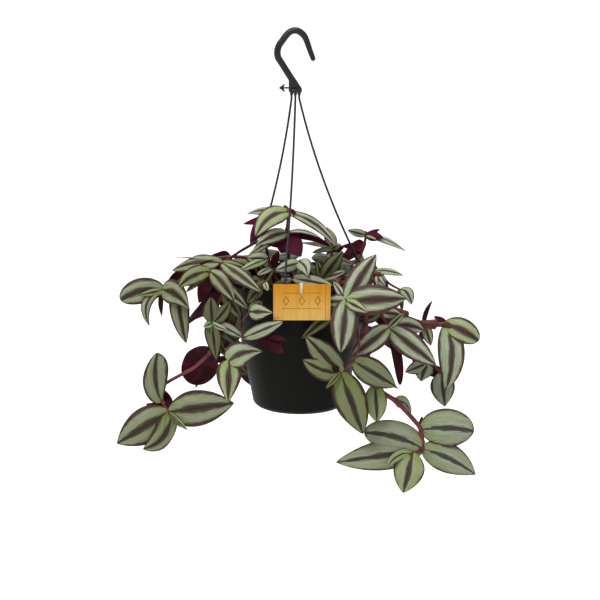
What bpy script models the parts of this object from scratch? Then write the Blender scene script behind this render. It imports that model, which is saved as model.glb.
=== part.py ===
"""Tradescantia zebrina in a hanging pot: pot, potting soil, hook with three strands, label
card with its clip, and the shoots. Sizes are in mm from the middle of the pot's rim, +Z up,
+Y to the back; every point is then moved so that the hook's seat is the origin."""

import math

import bmesh
import bpy
from mathutils import Matrix, Vector

MM = 0.001
SEAT = Vector((-4.3, 0.0, 237.5))

POT_SIDES = 40
POT_RIM_R = 75.0
POT_TOP_R = 71.2
POT_FOOT_R = 48.0
POT_FOOT_ROUND = 7.0
POT_DEPTH = 131.5
POT_WALL = 1.5
POT_RIM_DEPTH = 4.0
DRAIN_R = 4.0
DRAIN_RING_R = 28.0
DRAIN_COUNT = 5
LUG_R = 65.5
LUG_HOLE_R = 1.6
LUG_SIZE = (9.0, 12.0, 3.0)

SOIL_TOP = -12.5
GAP = 0.3

HOOK_R = 3.3
HOOK_TIP_R = 2.5
HOOK_ROUTE = (
    (12.6, 0.0, 213.9), (9.4, 0.0, 222.4), (6.4, 0.0, 230.9), (3.8, 0.0, 235.8),
    (0.0, 0.0, 239.3), (-4.3, 0.0, 240.8), (-9.2, 0.0, 239.6), (-13.2, 0.0, 236.0),
    (-17.0, 0.0, 231.0), (-20.4, 0.0, 226.0), (-21.9, 0.0, 219.8), (-20.9, 0.0, 214.4),
    (-18.4, 0.0, 210.4), (-8.7, 0.0, 195.2), (-2.9, 0.0, 186.2),
)
HUB_X = -4.5
HUB_R = 6.6
HUB_LOW = 181.7
HUB_HIGH = 184.8
SOCKET_R = 1.5
SOCKET_RING_R = 4.3
STRAND_R = 1.1
STRAND_NECK_R = 1.9
STRAND_PLUG_R = 1.2
STRAND_BOW = 12.0
CROSSBAR_Z = 12.0
BARB_R = 2.3
STRANDS = (("front", -103.2), ("right", 16.8), ("left", 136.8))

CARD_SIZE = (54.4, 0.8, 34.8)
CARD_CENTRE = (1.8, -77.8, -10.4)
CLIP_ROUTE = ((-78.9, -2.4), (-78.9, 7.5), (-76.7, 7.5), (-76.7, 0.7), (-69.0, 0.7), (-67.3, -9.0))
CLIP_X = 1.4
CLIP_WIDTH = 3.2
CLIP_THICK = 0.8

STEM_SIDES = 5
STEM_STEPS = 2
STEM_FOOT = -12.2
STEM_TAPER = 0.35
STEM_PULL = 0.28
BUD_SHARE = 0.5
LEAF_ROOT = 0.5
LEAF_HALF_THICK = 0.45
LEAF_STATIONS = (0.12, 0.42, 0.78)
FOLD_LEAST = 10.0
FOLD_SPREAD = 9.0

FACE = {
    "f": (0.0, -1.0, 0.25),
    "u": (0.0, -0.35, 1.0),
    "d": (0.0, 1.0, -0.25),
}

# outlines of a leaf: rise and fall of its right half, seen from its base, then of its left half
OUTLINE = {
    "n": (0.55, 0.8, 0.55, 0.8),
    "w": (0.4, 1.05, 0.4, 1.05),
    "b": (0.5, 0.5, 0.5, 0.5),
    "k": (0.9, 0.45, 0.4, 0.8),
}

# name, stem radius, stem route, then one row a leaf: the route point it grows from (counted
# from 0), its tip, its width, the way its upper face looks, its outline,
# roll in degrees, arch and sweep in mm
SHOOTS = (
    ("shoot_left_far", 1.7, (
        (-34, 8, -12), (-54, 10, 16), (-84, 6, 16), (-112, 2, 4), (-121.4, -4, -5.9),
        (-136.3, -6, -13.6),
    ), (
        (5, (-178.1, -12, -22.5), 27, "f", "b", 0, 4, 4),
        (5, (-148.7, -22, -46.6), 11, "f", "n", 0, 5, 10),
        (5, (-159.5, -18, -16.6), 8, "f", "n", 0, 2, 0),
        (5, (-108, -30, -28.6), 25, "f", "w", 10, 4, -5),
        (4, (-113.3, -14, -65.9), 21, "f", "n", 0, 4, 2),
        (3, (-134.4, 2, -12.7), 14, "d", "n", 0, 2, 0),
        (5, (-138.3, 0, -42), 6, "d", "n", 20, 1, -2),
        (2, (-90.6, 34, 0.9), 16, "u", "n", 0, 4, 0),
    )),
    ("shoot_left_upper", 1.8, (
        (-24, -4, -12), (-31, -1, 16), (-36.6, -2, 36.2), (-55, -16, 29.7), (-75.7, -36, 19.5),
        (-86.8, -48, 13.4),
    ), (
        (5, (-116.8, -50, -1.6), 18, "f", "n", 0, 4, 3.5),
        (5, (-63.1, -66, -11.7), 18, "f", "n", 0, 4, -2.5),
        (4, (-125.6, -22, 9.3), 22, (0, -0.7, 0.8), "n", 0, 6, 0),
        (4, (-128.8, -16, 21.7), 8, "u", "n", 25, 2, 0),
        (4, (-36.2, -79, -0.7), 17, (0, -0.7, 0.8), "n", 0, 6, 2),
        (5, (-49.2, -68, -19.6), 15, "f", "n", 0, 4, 0),
        (4, (-52.2, -44, 16.1), 11, "f", "n", 0, 3, 0),
        (5, (-110.5, -44, -7.6), 9, "f", "n", 20, 2, 0),
        (5, (-98.2, -42, -19), 14, "d", "n", 0, 2, 0),
        (4, (-86.7, -30, 24.3), 5, "d", "n", 0, 1, 0),
        (4, (-68.7, -30, 23.8), 6, "d", "n", 0, 1, 0),
        (4, (-97.9, -38, 18.9), 8, "d", "n", 0, 2, 0),
        (4, (-86.6, -26, -26.5), 22, "d", "n", 0, 2, 0),
        (4, (-76.1, -38, -25.8), 14, "d", "n", 0, 2, 0),
    )),
    ("shoot_left_rosette", 1.6, (
        (-30, -24, -12), (-50, -38, 4), (-62, -46, 4), (-74, -50, -6), (-85.3, -50, -37.1),
    ), (
        (4, (-85.5, -58, -9.1), 18, "f", "n", 0, 3, 0),
        (4, (-66.8, -56, -12.9), 14, "f", "n", 0, 3, 2),
        (4, (-93.4, -56, -39.6), 8, "f", "n", 0, 1, 0),
        (4, (-69.3, -62, -41.2), 7, "f", "n", 30, 2, 0),
        (4, (-52.8, -54, -52.5), 12, "f", "n", 25, 3, -3),
        (4, (-80.9, -60, -72.5), 18, "f", "w", 0, 2, 0),
        (4, (-70.7, -50, -71.1), 12, "f", "n", -30, 2, 3),
        (3, (-104.9, -34, -36.8), 15, "d", "n", 0, 2, 0),
        (3, (-57, -54, -31.2), 15, "f", "n", 0, 3, 0),
        (1, (-35, -40, -3.5), 14, "f", "n", 0, 3, 0),
        (4, (-72.9, -58, -47.1), 8, "d", "n", 25, 1, 0),
        (4, (-56.5, -48, -60.5), 12, "f", "n", 0, 2, 0),
    )),
    ("shoot_left_low", 2.3, (
        (-34, -16, -12), (-56, -27, 7), (-67, -36, 3), (-69, -44, -25.5), (-76.4, -38, -50.9),
        (-86, -44, -66.6), (-104, -42, -83.7), (-133.3, -36, -102.2), (-136.6, -36, -118.6),
        (-130.1, -40, -129.7),
    ), (
        (8, (-139.7, -46, -67.6), 28, "f", "k", 0, 3, -4),
        (9, (-180.3, -52, -158.5), 37, "f", "n", 0, 5, 0),
        (9, (-64.4, -58, -115.3), 36, "f", "n", 0, 5, 0),
        (9, (-154.2, -58, -162.2), 31, "f", "n", -45, 5, -8),
        (9, (-110.2, -58, -142.8), 7, "f", "n", 0, 1, 0),
        (9, (-116.7, -56, -140.8), 5, "f", "n", 0, 1, 0),
        (9, (-136.6, -28, -109), 14, "d", "n", 0, 2, 0),
        (9, (-153.2, -30, -124.4), 11, "d", "n", 0, 1, 0),
        (5, (-112.8, -26, -101.8), 37, "d", "b", 0, 3, 0),
        (4, (-86.8, -16, -79.8), 15, (-0.5, 0.8, 0.3), "n", 0, 3, 0),
    )),
    ("shoot_left_inner", 1.6, (
        (-22, -34, -12), (-42, -48, 4), (-50, -57, 4.5), (-60.5, -53, -14), (-67.2, -47, -52.8),
        (-68.3, -60, -72.5),
    ), (
        (5, (-69.8, -68, -113.4), 25, "f", "w", 0, 4, 0),
        (4, (-60.1, -46, -18.1), 17, "f", "n", 0, 2, 0),
        (5, (-35.5, -70, -60.5), 27, "f", "w", 0, 4, -4),
        (5, (-50.7, -54, -88.1), 10, "f", "n", 0, 1, 0),
        (5, (-82, -48, -73.6), 9, "d", "n", 0, 1, 0),
    )),
    ("shoot_top_tall", 2.2, (
        (-8, 10, -12), (-12, 8, 22), (-12.9, 6, 41.8), (-11.4, 2, 62.6),
    ), (
        (3, (-43.4, -24, 43), 23, "f", "n", 14, 6, 5.5),
        (2, (-43.2, -32, 36), 15, "f", "n", 0, 4, 2),
        (3, (-52.5, 4, 61.7), 11, (0, -0.7, 0.7), "n", 0, 6, 0),
        (3, (-56.2, -6, 52.9), 10, "d", "n", 0, 5, 0),
        (3, (-49.6, 14, 26.2), 18, "d", "n", 0, 2, -9),
        (2, (-35.4, -14, 36.8), 20, "d", "n", 0, 2, 2),
        (2, (1, -14, 21.3), 19, "d", "n", 0, 2, 0),
        (3, (35.9, -14, 31.3), 12, (0, -0.8, 0.6), "n", 0, 2, -6),
        (2, (30.7, -4, 30), 13, (0, 0.8, 0.6), "n", 0, 5, 0),
        (2, (20.7, -12, 39.9), 7, (0, -0.6, 0.8), "n", 0, 7, 0),
        (3, (-3.9, -4, 64.5), 8, "d", "n", 0, 2, 0),
        (3, (-15.8, 4, 70.7), 6, "d", "n", 0, 1, 0),
        (2, (-51.6, -18, 22.5), 11, (0, -0.7, 0.7), "n", 0, 4, 0),
    )),
    ("shoot_top_left", 1.6, (
        (-20, -16, -12), (-28.4, -22, 11.8), (-31.8, -24, 21.2),
    ), (
        (1, (-54, -20, 15.4), 9, "u", "n", 0, 4, 0),
        (2, (-51.9, -36, 24.4), 15, "f", "n", -4, 3, 0),
        (2, (-58.8, -52, 14.7), 9, "f", "n", 10, 3, 0),
        (1, (-20.4, -34, 31), 8, "d", "n", 0, 2, 0),
        (1, (-37, -36, -2.3), 10, "f", "n", 0, 2, 0),
        (1, (-41.6, -44, 9.2), 8, "f", "n", 25, 1, 0),
    )),
    ("shoot_top_right", 1.7, (
        (20, 2, -12), (26, 0, 12), (30.9, 4, 16.9), (32.9, 6, 26.7),
    ), (
        (3, (26.9, 8, 47.5), 13, "f", "n", 0, 2, 0),
        (3, (40.6, -2, 32.1), 8, "f", "n", 0, 2, 0),
        (3, (11.9, 0, 22.7), 11, "u", "n", 0, 2, 0),
        (3, (-3, 14, 30.3), 9, "u", "n", 0, 2, 0),
        (2, (36.5, -14, 16.3), 11, "f", "n", 0, 2, 0),
        (2, (10.9, -6, 18.8), 10, "u", "n", 0, 2, 0),
        (2, (25.4, -26, 9.6), 9, "f", "n", 0, 1, 0),
    )),
    ("shoot_centre_small", 1.5, (
        (2, -24, -12), (-2, -28, 6), (-6.8, -36, 4.6), (-0.5, -32, 19.2),
    ), (
        (3, (-24.2, -42, 13.4), 13, "f", "n", 0, 3, 0),
        (3, (7.7, -50, 8.1), 16, "f", "w", 0, 3, -2.5),
        (2, (31.7, -58, 1.7), 14, "f", "n", 0, 2, 0),
    )),
    ("shoot_right_upper", 2.0, (
        (34, 20, -12), (50, 26, 4), (59.8, 30, 12), (64.8, 30, 24.4), (66.6, 28, 36),
    ), (
        (4, (106, 18, 21.4), 9, "u", "n", 15, 5, 0),
        (4, (47.7, 20, 42.5), 9, "f", "n", -20, 1, 0),
        (4, (83.2, 16, 35.5), 11, "d", "n", 0, 1, 0),
        (4, (80.5, 24, 42.8), 5, "d", "n", 0, 1, 0),
        (3, (51.7, 32, 26.1), 12, "d", "n", 0, 2, 0),
        (3, (42, 30, 24.4), 8, "d", "n", 0, 3, 0),
        (3, (43, 26, 6.6), 13, "d", "n", 0, 2, -3),
    )),
    ("shoot_right_back", 1.6, (
        (40, 6, -12), (56, 6, 8), (74.8, 2, 4.1), (90, 4, -9.6), (101, 2, -15.3),
    ), (
        (2, (102.7, -6, 1.1), 9, "u", "n", 25, 4, 0),
        (2, (84.4, -8, -9.1), 10, (0.3, -0.5, 1), "n", 0, 4, 0),
        (4, (110.8, -10, -27.5), 13, "f", "n", 0, 4, -3),
        (4, (95.6, -8, -31.5), 10, "f", "n", 0, 2, 0),
        (4, (101.9, -4, -37.5), 5, "f", "n", 0, 1, 0),
    )),
    ("shoot_front_right", 1.9, (
        (22, -42, -12), (34, -58, 7), (44.2, -74, -10),
    ), (
        (2, (73.5, -46, 29.9), 23, "f", "n", 0, 5, -1),
        (2, (101.2, -74, -7.4), 30, "f", "n", 0, 5, 0),
        (2, (38.4, -90, -56.9), 28, "f", "n", 0, 5, 0),
        (2, (63.9, -94, -16.7), 12, "f", "n", 0, 3, 0),
        (2, (22.9, -71, -11.6), 14, "f", "n", 0, 2, 0),
        (2, (31.6, -62, 7), 9, "f", "n", 0, 1, 0),
        (2, (1, -71, -47.9), 15, "f", "n", 0, 0, 0),
    )),
    ("shoot_right_mid", 1.8, (
        (30, -30, -12), (57, -46, 8), (77.5, -50, -26.1), (85.6, -54, -40.6),
    ), (
        (3, (48.9, -72, -65.4), 23, "f", "n", 0, 5, 0),
        (3, (131.6, -62, -76), 25, "f", "n", 0, 5, 0),
        (3, (100.4, -62, -23.9), 8, "f", "n", 0, 1, 0),
        (3, (121.4, -38, -47.9), 19, "f", "n", 0, 4, -4),
        (2, (99.4, -42, -30.9), 13, "f", "n", 0, 2, 0),
        (3, (98.2, -44, -101), 10, "d", "b", 0, 3, 3),
        (2, (55, -58, -35.2), 13, "f", "n", 0, 2, 0),
        (3, (92.8, -28, -60.4), 19, (1, 0, 0.3), "n", 0, 3, 0),
    )),
    ("shoot_right_far", 3.4, (
        (36, -8, -12), (60, -14, 4.4), (77, -18, 3.6), (92.6, -24, -31), (122.8, -20, -45),
        (144.6, -20, -45.6), (155.3, -22, -49.7),
    ), (
        (5, (175.9, -30, -59.9), 25, "f", "b", 0, 4, -2),
        (5, (143, -40, -108.2), 27, "f", "n", 0, 6, -5.5),
        (5, (133.4, -10, -39.2), 8, "d", "n", 0, 1, 0),
        (4, (130.6, -14, -68.5), 12, "f", "n", 0, 2, 0),
        (4, (131.2, -16, -22), 5, "d", "n", 0, 1, 2),
        (2, (84, -32, -4.1), 9, "f", "n", 0, 2, 2),
        (2, (76.3, -30, -5.6), 8, "f", "n", 0, 2, 0),
        (3, (80.2, 4, -24.9), 18, (0.9, -0.1, 0.4), "n", 0, 3, 0),
        (4, (117.5, -4, -71.5), 17, (1, 0, 0.2), "n", 0, 3, 0),
    )),
    ("shoot_right_behind", 2.3, (
        (37, 14, -12), (58, 14, 7.5), (75, 11, 5.5), (92.3, 2, -35.8), (108.3, -4, -63.2),
        (130.8, -4, -88), (141.9, -6, -98.9),
    ), (
        (5, (121.7, -9, -107), 20, "f", "n", 0, 2, 2),
        (5, (105.7, -6, -97.9), 16, "f", "n", 0, 2, 0),
        (6, (125.7, 6, -96.9), 13, "d", "n", 0, 1, 0),
        (6, (145.8, -14, -131.6), 25, "f", "n", 0, 4, 0),
        (2, (85.9, 34, -32.4), 16, (0.3, 0.8, 0.5), "n", 0, 4, 0),
        (3, (100.2, 26, -70.5), 19, (0.7, 0.6, 0.4), "n", 0, 4, 0),
        (4, (117.8, 22, -99), 20, (0.7, 0.6, 0.3), "n", 0, 4, 0),
        (6, (152.5, 14, -128.6), 20, (1, -0.1, 0.2), "n", 0, 3, 0),
    )),
    ("shoot_front_low", 1.7, (
        (26, -46, -12), (42, -60, 5), (48, -64, 1), (52, -66, -20), (56.2, -80, -50.6),
        (51.1, -80, -67.3), (38.6, -84, -77.6),
    ), (
        (6, (5.2, -90, -40.2), 26, "f", "n", 0, 5, 0),
        (6, (2.4, -98, -61), 21, "f", "n", 0, 4, -3),
        (6, (60.6, -84, -138.8), 32, "f", "n", 0, 6, 0),
        (6, (24.3, -98, -89.8), 6, "f", "n", 0, 1, 0),
        (5, (92.3, -76, -93.7), 27, "f", "n", 0, 4, 0),
        (5, (95.3, -68, -98.2), 10, "f", "n", 20, 2, 0),
        (6, (30.2, -96, -67.6), 7, "d", "n", 0, 1, 0),
    )),
    ("shoot_right_low", 2.9, (
        (32, -38, -12), (52, -56, 7), (63, -61, -12), (63.6, -64, -55.6), (72.8, -62, -97),
        (93.6, -58, -113.3), (111.8, -54, -133.8), (119, -52, -144.6), (120.8, -52, -164.1),
        (109.8, -62, -166.1),
    ), (
        (8, (62.7, -58, -145.3), 33, "f", "b", 0, 5, 4.5),
        (8, (35.1, -72, -171), 30, "f", "n", 0, 5, 0),
        (8, (172.7, -60, -187.8), 30, "f", "n", 0, 5, -3),
        (9, (100.7, -74, -201.8), 32, "f", "n", 0, 6, 0),
        (9, (83.1, -80, -176.7), 11, "f", "n", 0, 2, 6),
        (7, (170.7, -56, -144.9), 38, "f", "b", 0, 4, -3),
        (7, (120.4, -44, -132.7), 6, "d", "n", 0, 1, 0),
        (4, (74.9, -66, -132.5), 23, "f", "n", 0, 3, 0),
        (5, (109.1, -50, -128.8), 13, "f", "n", -20, 1, -4),
        (4, (81.2, -34, -108.9), 20, (1, 0, 0.4), "n", 0, 3, 0),
        (7, (140.2, -26, -156.8), 19, (0.7, 0.2, 0.7), "n", 0, 3, 0),
        (8, (136.8, -26, -187.2), 20, (1, 0, 0.3), "n", 0, 3, 0),
    )),
    ("shoot_front_left", 1.2, (
        (-18, -44, -12), (-34, -66, 7), (-47.6, -74, -20.2), (-57.2, -76, -32), (-53.4, -76, -45.2),
        (-36.2, -78, -40.3),
    ), (
        (2, (-25.2, -84, -18.9), 17, "f", "w", 0, 3, 0),
        (4, (-15.6, -86, -27.2), 14, "f", "n", 0, 2, 0),
        (5, (-16.2, -84, -58.4), 17, "d", "n", 0, 2, 0),
        (5, (-11.4, -88, -45.7), 6, "d", "n", 0, 1, 0),
        (1, (-30.3, -76, 0.1), 6, "f", "n", 0, 1, 0),
        (1, (-50.9, -60, -15), 14, "f", "n", 0, 2, 0),
        (2, (-36.2, -70, -10.9), 12, "f", "n", 0, 2, 0),
    )),
    ("shoot_centre_right", 1.5, (
        (16, -18, -12), (21.5, -32, 2.8),
    ), (
        (1, (41.7, -36, 31.3), 17, "f", "n", 0, 3, 0),
        (1, (8.7, -46, 1.7), 11, "f", "n", 0, 1, 0),
        (1, (44.7, -38, 12), 10, "f", "n", 0, 1, 0),
        (1, (16.6, -28, 19.9), 9, "f", "n", 0, 1, 0),
    )),
    ("shoot_crown_left", 1.5, (
        (-27, 6, -12), (-33, 14, 2), (-40, 18, 8),
    ), (
        (2, (-68, 29, 11), 22, "u", "n", 0, 4, 0),
        (2, (-26, 7, 11), 15, "u", "n", 0, 3, 0),
        (1, (-48, 36, 4), 12, "u", "n", 0, 3, 0),
        (1, (-15, 17, -3), 12, "u", "n", 0, 3, 0),
    )),
    ("shoot_crown_back_left", 1.5, (
        (-14, 28, -12), (-18, 32, 0), (-26, 37, 9),
    ), (
        (2, (-40, 70, 12), 22, "u", "n", 0, 4, 0),
        (2, (0, 56, 11), 20, "u", "n", 0, 3, 0),
        (2, (-12, 10, 14), 20, "u", "n", 0, 3, 0),
        (1, (-37, 27, -3), 13, "u", "n", 0, 3, 0),
        (1, (-2, 21, -3), 14, "u", "n", 0, 3, 0),
        (1, (-20, 55, -3), 15, "u", "n", 0, 3, 0),
    )),
    ("shoot_crown_back_right", 1.5, (
        (14, 26, -12), (18, 30, -1), (26, 31, 8),
    ), (
        (2, (54, 50, 11), 21, "u", "n", 0, 4, 0),
        (2, (16, 64, 10), 20, "u", "n", 0, 4, 0),
        (1, (-2, 29, 5), 16, "u", "n", 0, 3, 0),
        (2, (54, 13, 8), 20, "u", "n", 0, 3, 0),
        (1, (6, 50, -2), 14, "u", "n", 0, 3, 0),
        (1, (22, 12, -4), 14, "u", "n", 0, 3, 0),
        (1, (41, 27, -3), 13, "u", "n", 0, 3, 0),
    )),
    ("shoot_crown_centre", 1.5, (
        (6, 6, -12), (6, 4, -1), (3, 2, 6),
    ), (
        (2, (30, -10, 2), 17, "u", "n", 0, 3, 0),
        (2, (-22, -8, 6), 19, "u", "n", 0, 3, 0),
        (2, (2, -24, 2), 17, "u", "n", 0, 3, 0),
        (2, (22, 18, 3), 16, "u", "n", 8, 3, 0),
        (1, (21, 10, -5), 12, "u", "n", 0, 2, 0),
        (1, (-12, -8, -5), 12, "u", "n", 0, 2, 0),
        (1, (12, -15, -6), 12, "u", "n", 0, 2, 0),
    )),
    ("shoot_crown_front", 1.5, (
        (-4, -42, -12), (-5, -46, -5), (-6, -49, -2),
    ), (
        (2, (20, -61, -7), 12, "u", "n", 0, 0, 0),
        (2, (-26, -56, 3), 14, "u", "n", 0, 3, 0),
        (1, (-17, -34, -7), 11, "u", "n", 0, 2, 0),
        (1, (12, -41, -7), 12, "u", "n", 0, 2, 0),
    )),
    ("shoot_crown_right", 1.5, (
        (34, -22, -12), (40, -22, -1), (44, -22, 5),
    ), (
        (2, (66, -36, 7), 13, "u", "n", 0, 3, 0),
        (2, (44, 1, 12), 15, "u", "n", 0, 3, 0),
        (1, (57, -33, -4), 12, "u", "n", 0, 3, 0),
        (1, (27, -12, -4), 12, "u", "n", 0, 2, 0),
        (1, (26, -25, -5), 10, "u", "n", 0, 2, 0),
    )),
    ("shoot_crown_front_left", 1.4, (
        (-12, -26, -12), (-12, -27, -5), (-13, -28, -1),
    ), (
        (2, (-14, -11, 0), 12, "u", "n", 0, 2, 0),
        (2, (-13, -43, 1), 11, "u", "n", 0, 2, 0),
        (1, (-1, -17, -6), 9, "u", "n", 0, 1, 0),
    )),
    ("shoot_crown_outer_left", 1.4, (
        (-44, -4, -12), (-47, -5, -4), (-50, -6, 1),
    ), (
        (2, (-67, 2, 2), 17, "u", "n", 0, 3, 0),
        (2, (-58, -19, -1), 13, "u", "n", 0, 2, 0),
        (1, (-34, 1, -6), 11, "u", "n", 0, 2, 0),
    )),
    ("shoot_crown_outer_right", 1.4, (
        (45, -1, -12), (47, -1, -5), (49, -1, -1),
    ), (
        (2, (65, -3, 1), 11, "u", "n", 0, 2, 0),
        (1, (33, 2, -7), 10, "u", "n", 0, 2, 0),
    )),
    ("shoot_crown_back", 1.4, (
        (4, 46, -12), (3, 48, -5), (2, 50, 0),
    ), (
        (2, (9, 67, 3), 14, "u", "n", 0, 3, 0),
        (2, (2, 33, 1), 12, "u", "n", 0, 2, 0),
    )),
)


# back shoots: name, bearing in degrees from +X, how far it hangs in mm, the side of its first leaf
BACK_SHOOTS = (
    ("shoot_back_far_right", 44.0, 68.0, 1),
    ("shoot_back_right", 70.0, 112.0, -1),
    ("shoot_back_middle", 97.0, 86.0, 1),
    ("shoot_back_left", 125.0, 102.0, -1),
    ("shoot_back_far_left", 152.0, 84.0, 1),
)
BACK_REACH = (30.0, 54.0, 79.0, 91.0, 96.0, 98.0, 94.0)
BACK_LEAVES = ((2, 14.0, 9.0, 22.0), (3, -20.0, -16.0, 25.0), (4, 33.0, -22.0, 30.0),
               (5, -32.0, -26.0, 30.0), (6, 20.0, -42.0, 28.0), (6, -26.0, -24.0, 24.0))


def place(point):
    """A point in mm from the middle of the rim, in metres from the hook's seat."""
    return (Vector(point) - SEAT) * MM


def material(name, colour, roughness):
    made = bpy.data.materials.new(name)
    made.use_nodes = True
    shader = made.node_tree.nodes["Principled BSDF"]
    shader.inputs["Base Color"].default_value = (*colour, 1.0)
    shader.inputs["Roughness"].default_value = roughness
    made.diffuse_color = (*colour, 1.0)
    return made


def solid(name, verts, faces, made=None, smooth=False):
    """A closed body from points in mm, its normals turned outward."""
    mesh = bpy.data.meshes.new(name)
    mesh.from_pydata([place(v) for v in verts], [], faces)
    work = bmesh.new()
    work.from_mesh(mesh)
    bmesh.ops.recalc_face_normals(work, faces=work.faces)
    work.to_mesh(mesh)
    work.free()
    body = bpy.data.objects.new(name, mesh)
    bpy.context.scene.collection.objects.link(body)
    if made:
        mesh.materials.append(made)
    mesh.shade_smooth() if smooth else mesh.shade_flat()
    return body


def combine(body, operation, others):
    """Joins the others to the body, or cuts them out of it, and removes them."""
    for other in others:
        other.hide_render = True
        other.display_type = "WIRE"
        step = body.modifiers.new(operation.lower(), "BOOLEAN")
        step.operation = operation
        step.object = other
    graph = bpy.context.evaluated_depsgraph_get()
    mesh = bpy.data.meshes.new_from_object(body.evaluated_get(graph))
    body.modifiers.clear()
    body.data = mesh
    for other in others:
        bpy.data.objects.remove(other)
    return body


def lathe(profile, sides, centre=(0.0, 0.0)):
    """Turns (radius, height) points about a vertical axis; a radius of 0 closes the end."""
    verts, rings, faces = [], [], []
    for radius, height in profile:
        if radius == 0.0:
            rings.append([len(verts)])
            verts.append((centre[0], centre[1], height))
            continue
        rings.append(list(range(len(verts), len(verts) + sides)))
        for i in range(sides):
            a = math.tau * i / sides
            verts.append((centre[0] + radius * math.cos(a), centre[1] + radius * math.sin(a), height))
    for low, high in zip(rings, rings[1:]):
        for i in range(sides):
            j = (i + 1) % sides
            if len(low) == 1:
                faces.append((low[0], high[j], high[i]))
            elif len(high) == 1:
                faces.append((low[i], low[j], high[0]))
            else:
                faces.append((low[i], low[j], high[j], high[i]))
    return verts, faces


def smooth_route(points, steps, pull=0.5):
    """Cardinal spline points through the route, each span cut into that many steps: a tangent is
    pull times the way from the point before to the point after."""
    p = [Vector(v) for v in points]
    p = [p[0] * 2 - p[1]] + p + [p[-1] * 2 - p[-2]]
    out = []
    for i in range(1, len(p) - 2):
        for k in range(steps):
            t = k / steps
            leave, arrive = (p[i + 1] - p[i - 1]) * pull, (p[i + 2] - p[i]) * pull
            gap = p[i + 1] - p[i]
            out.append(p[i] + leave * t + (gap * 3 - leave * 2 - arrive) * t * t
                       + (leave + arrive - gap * 2) * t ** 3)
    out.append(p[-2])
    return out


def tube(points, radii, sides, first=None):
    """A capped tube through the points; the frame is carried along without twist."""
    before, after = [points[0]] + points[:-1], points[1:] + [points[-1]]
    tangents = [(b - a).normalized() for a, b in zip(before, after) if (b - a).length > 0]
    if first:
        tangents[0] = Vector(first)
    side = tangents[0].orthogonal().normalized()
    verts, faces = [], []
    for n, (point, tangent) in enumerate(zip(points, tangents)):
        side = (side - tangent * side.dot(tangent)).normalized()
        up = tangent.cross(side)
        for i in range(sides):
            a = math.tau * i / sides
            verts.append(point + radii[n] * (side * math.cos(a) + up * math.sin(a)))
    for n in range(len(points) - 1):
        for i in range(sides):
            j = (i + 1) % sides
            faces.append((n * sides + i, n * sides + j, (n + 1) * sides + j, (n + 1) * sides + i))
    faces.append(tuple(range(sides)))
    faces.append(tuple(range(len(verts) - sides, len(verts))))
    return verts, faces


def box(low, high):
    verts = [(x, y, z) for x in (low[0], high[0]) for y in (low[1], high[1]) for z in (low[2], high[2])]
    faces = [(0, 1, 3, 2), (4, 6, 7, 5), (0, 4, 5, 1), (2, 3, 7, 6), (0, 2, 6, 4), (1, 5, 7, 3)]
    return verts, faces


def turned(verts, angle, shift):
    """Points turned about +Z by an angle in degrees, then shifted."""
    turn = Matrix.Rotation(math.radians(angle), 3, "Z")
    return [turn @ Vector(v) + Vector(shift) for v in verts]


def extruded(outline, low, high, across):
    """A flat outline made thick: across is 0 for an outline in Y and Z, 1 for one in X and Z."""
    verts = []
    for depth in (low, high):
        for a, b in outline:
            verts.append((depth, a, b) if across == 0 else (a, depth, b))
    n = len(outline)
    faces = [tuple(range(n)), tuple(range(n, 2 * n))]
    faces += [(i, (i + 1) % n, n + (i + 1) % n, n + i) for i in range(n)]
    return verts, faces


def strip_outline(route, thick):
    """Both sides of a bent strip, mitred at its corners, as one closed outline."""
    pts = [Vector(p) for p in route]
    left, right = [], []
    for i, p in enumerate(pts):
        before = (p - pts[i - 1]).normalized() if i else (pts[1] - p).normalized()
        after = (pts[i + 1] - p).normalized() if i < len(pts) - 1 else before
        normal = Vector((-before.y - after.y, before.x + after.x)).normalized()
        reach = thick / 2 / max(0.3, normal.dot(Vector((-before.y, before.x))))
        left.append(p + normal * reach)
        right.append(p - normal * reach)
    return [tuple(p) for p in left + right[::-1]]


def wall_r(height):
    """Outer radius of the pot's wall at a height below the rim."""
    straight = POT_DEPTH - POT_FOOT_ROUND - POT_RIM_DEPTH
    return POT_TOP_R + (height + POT_RIM_DEPTH) * (POT_TOP_R - POT_FOOT_R) / straight


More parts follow.
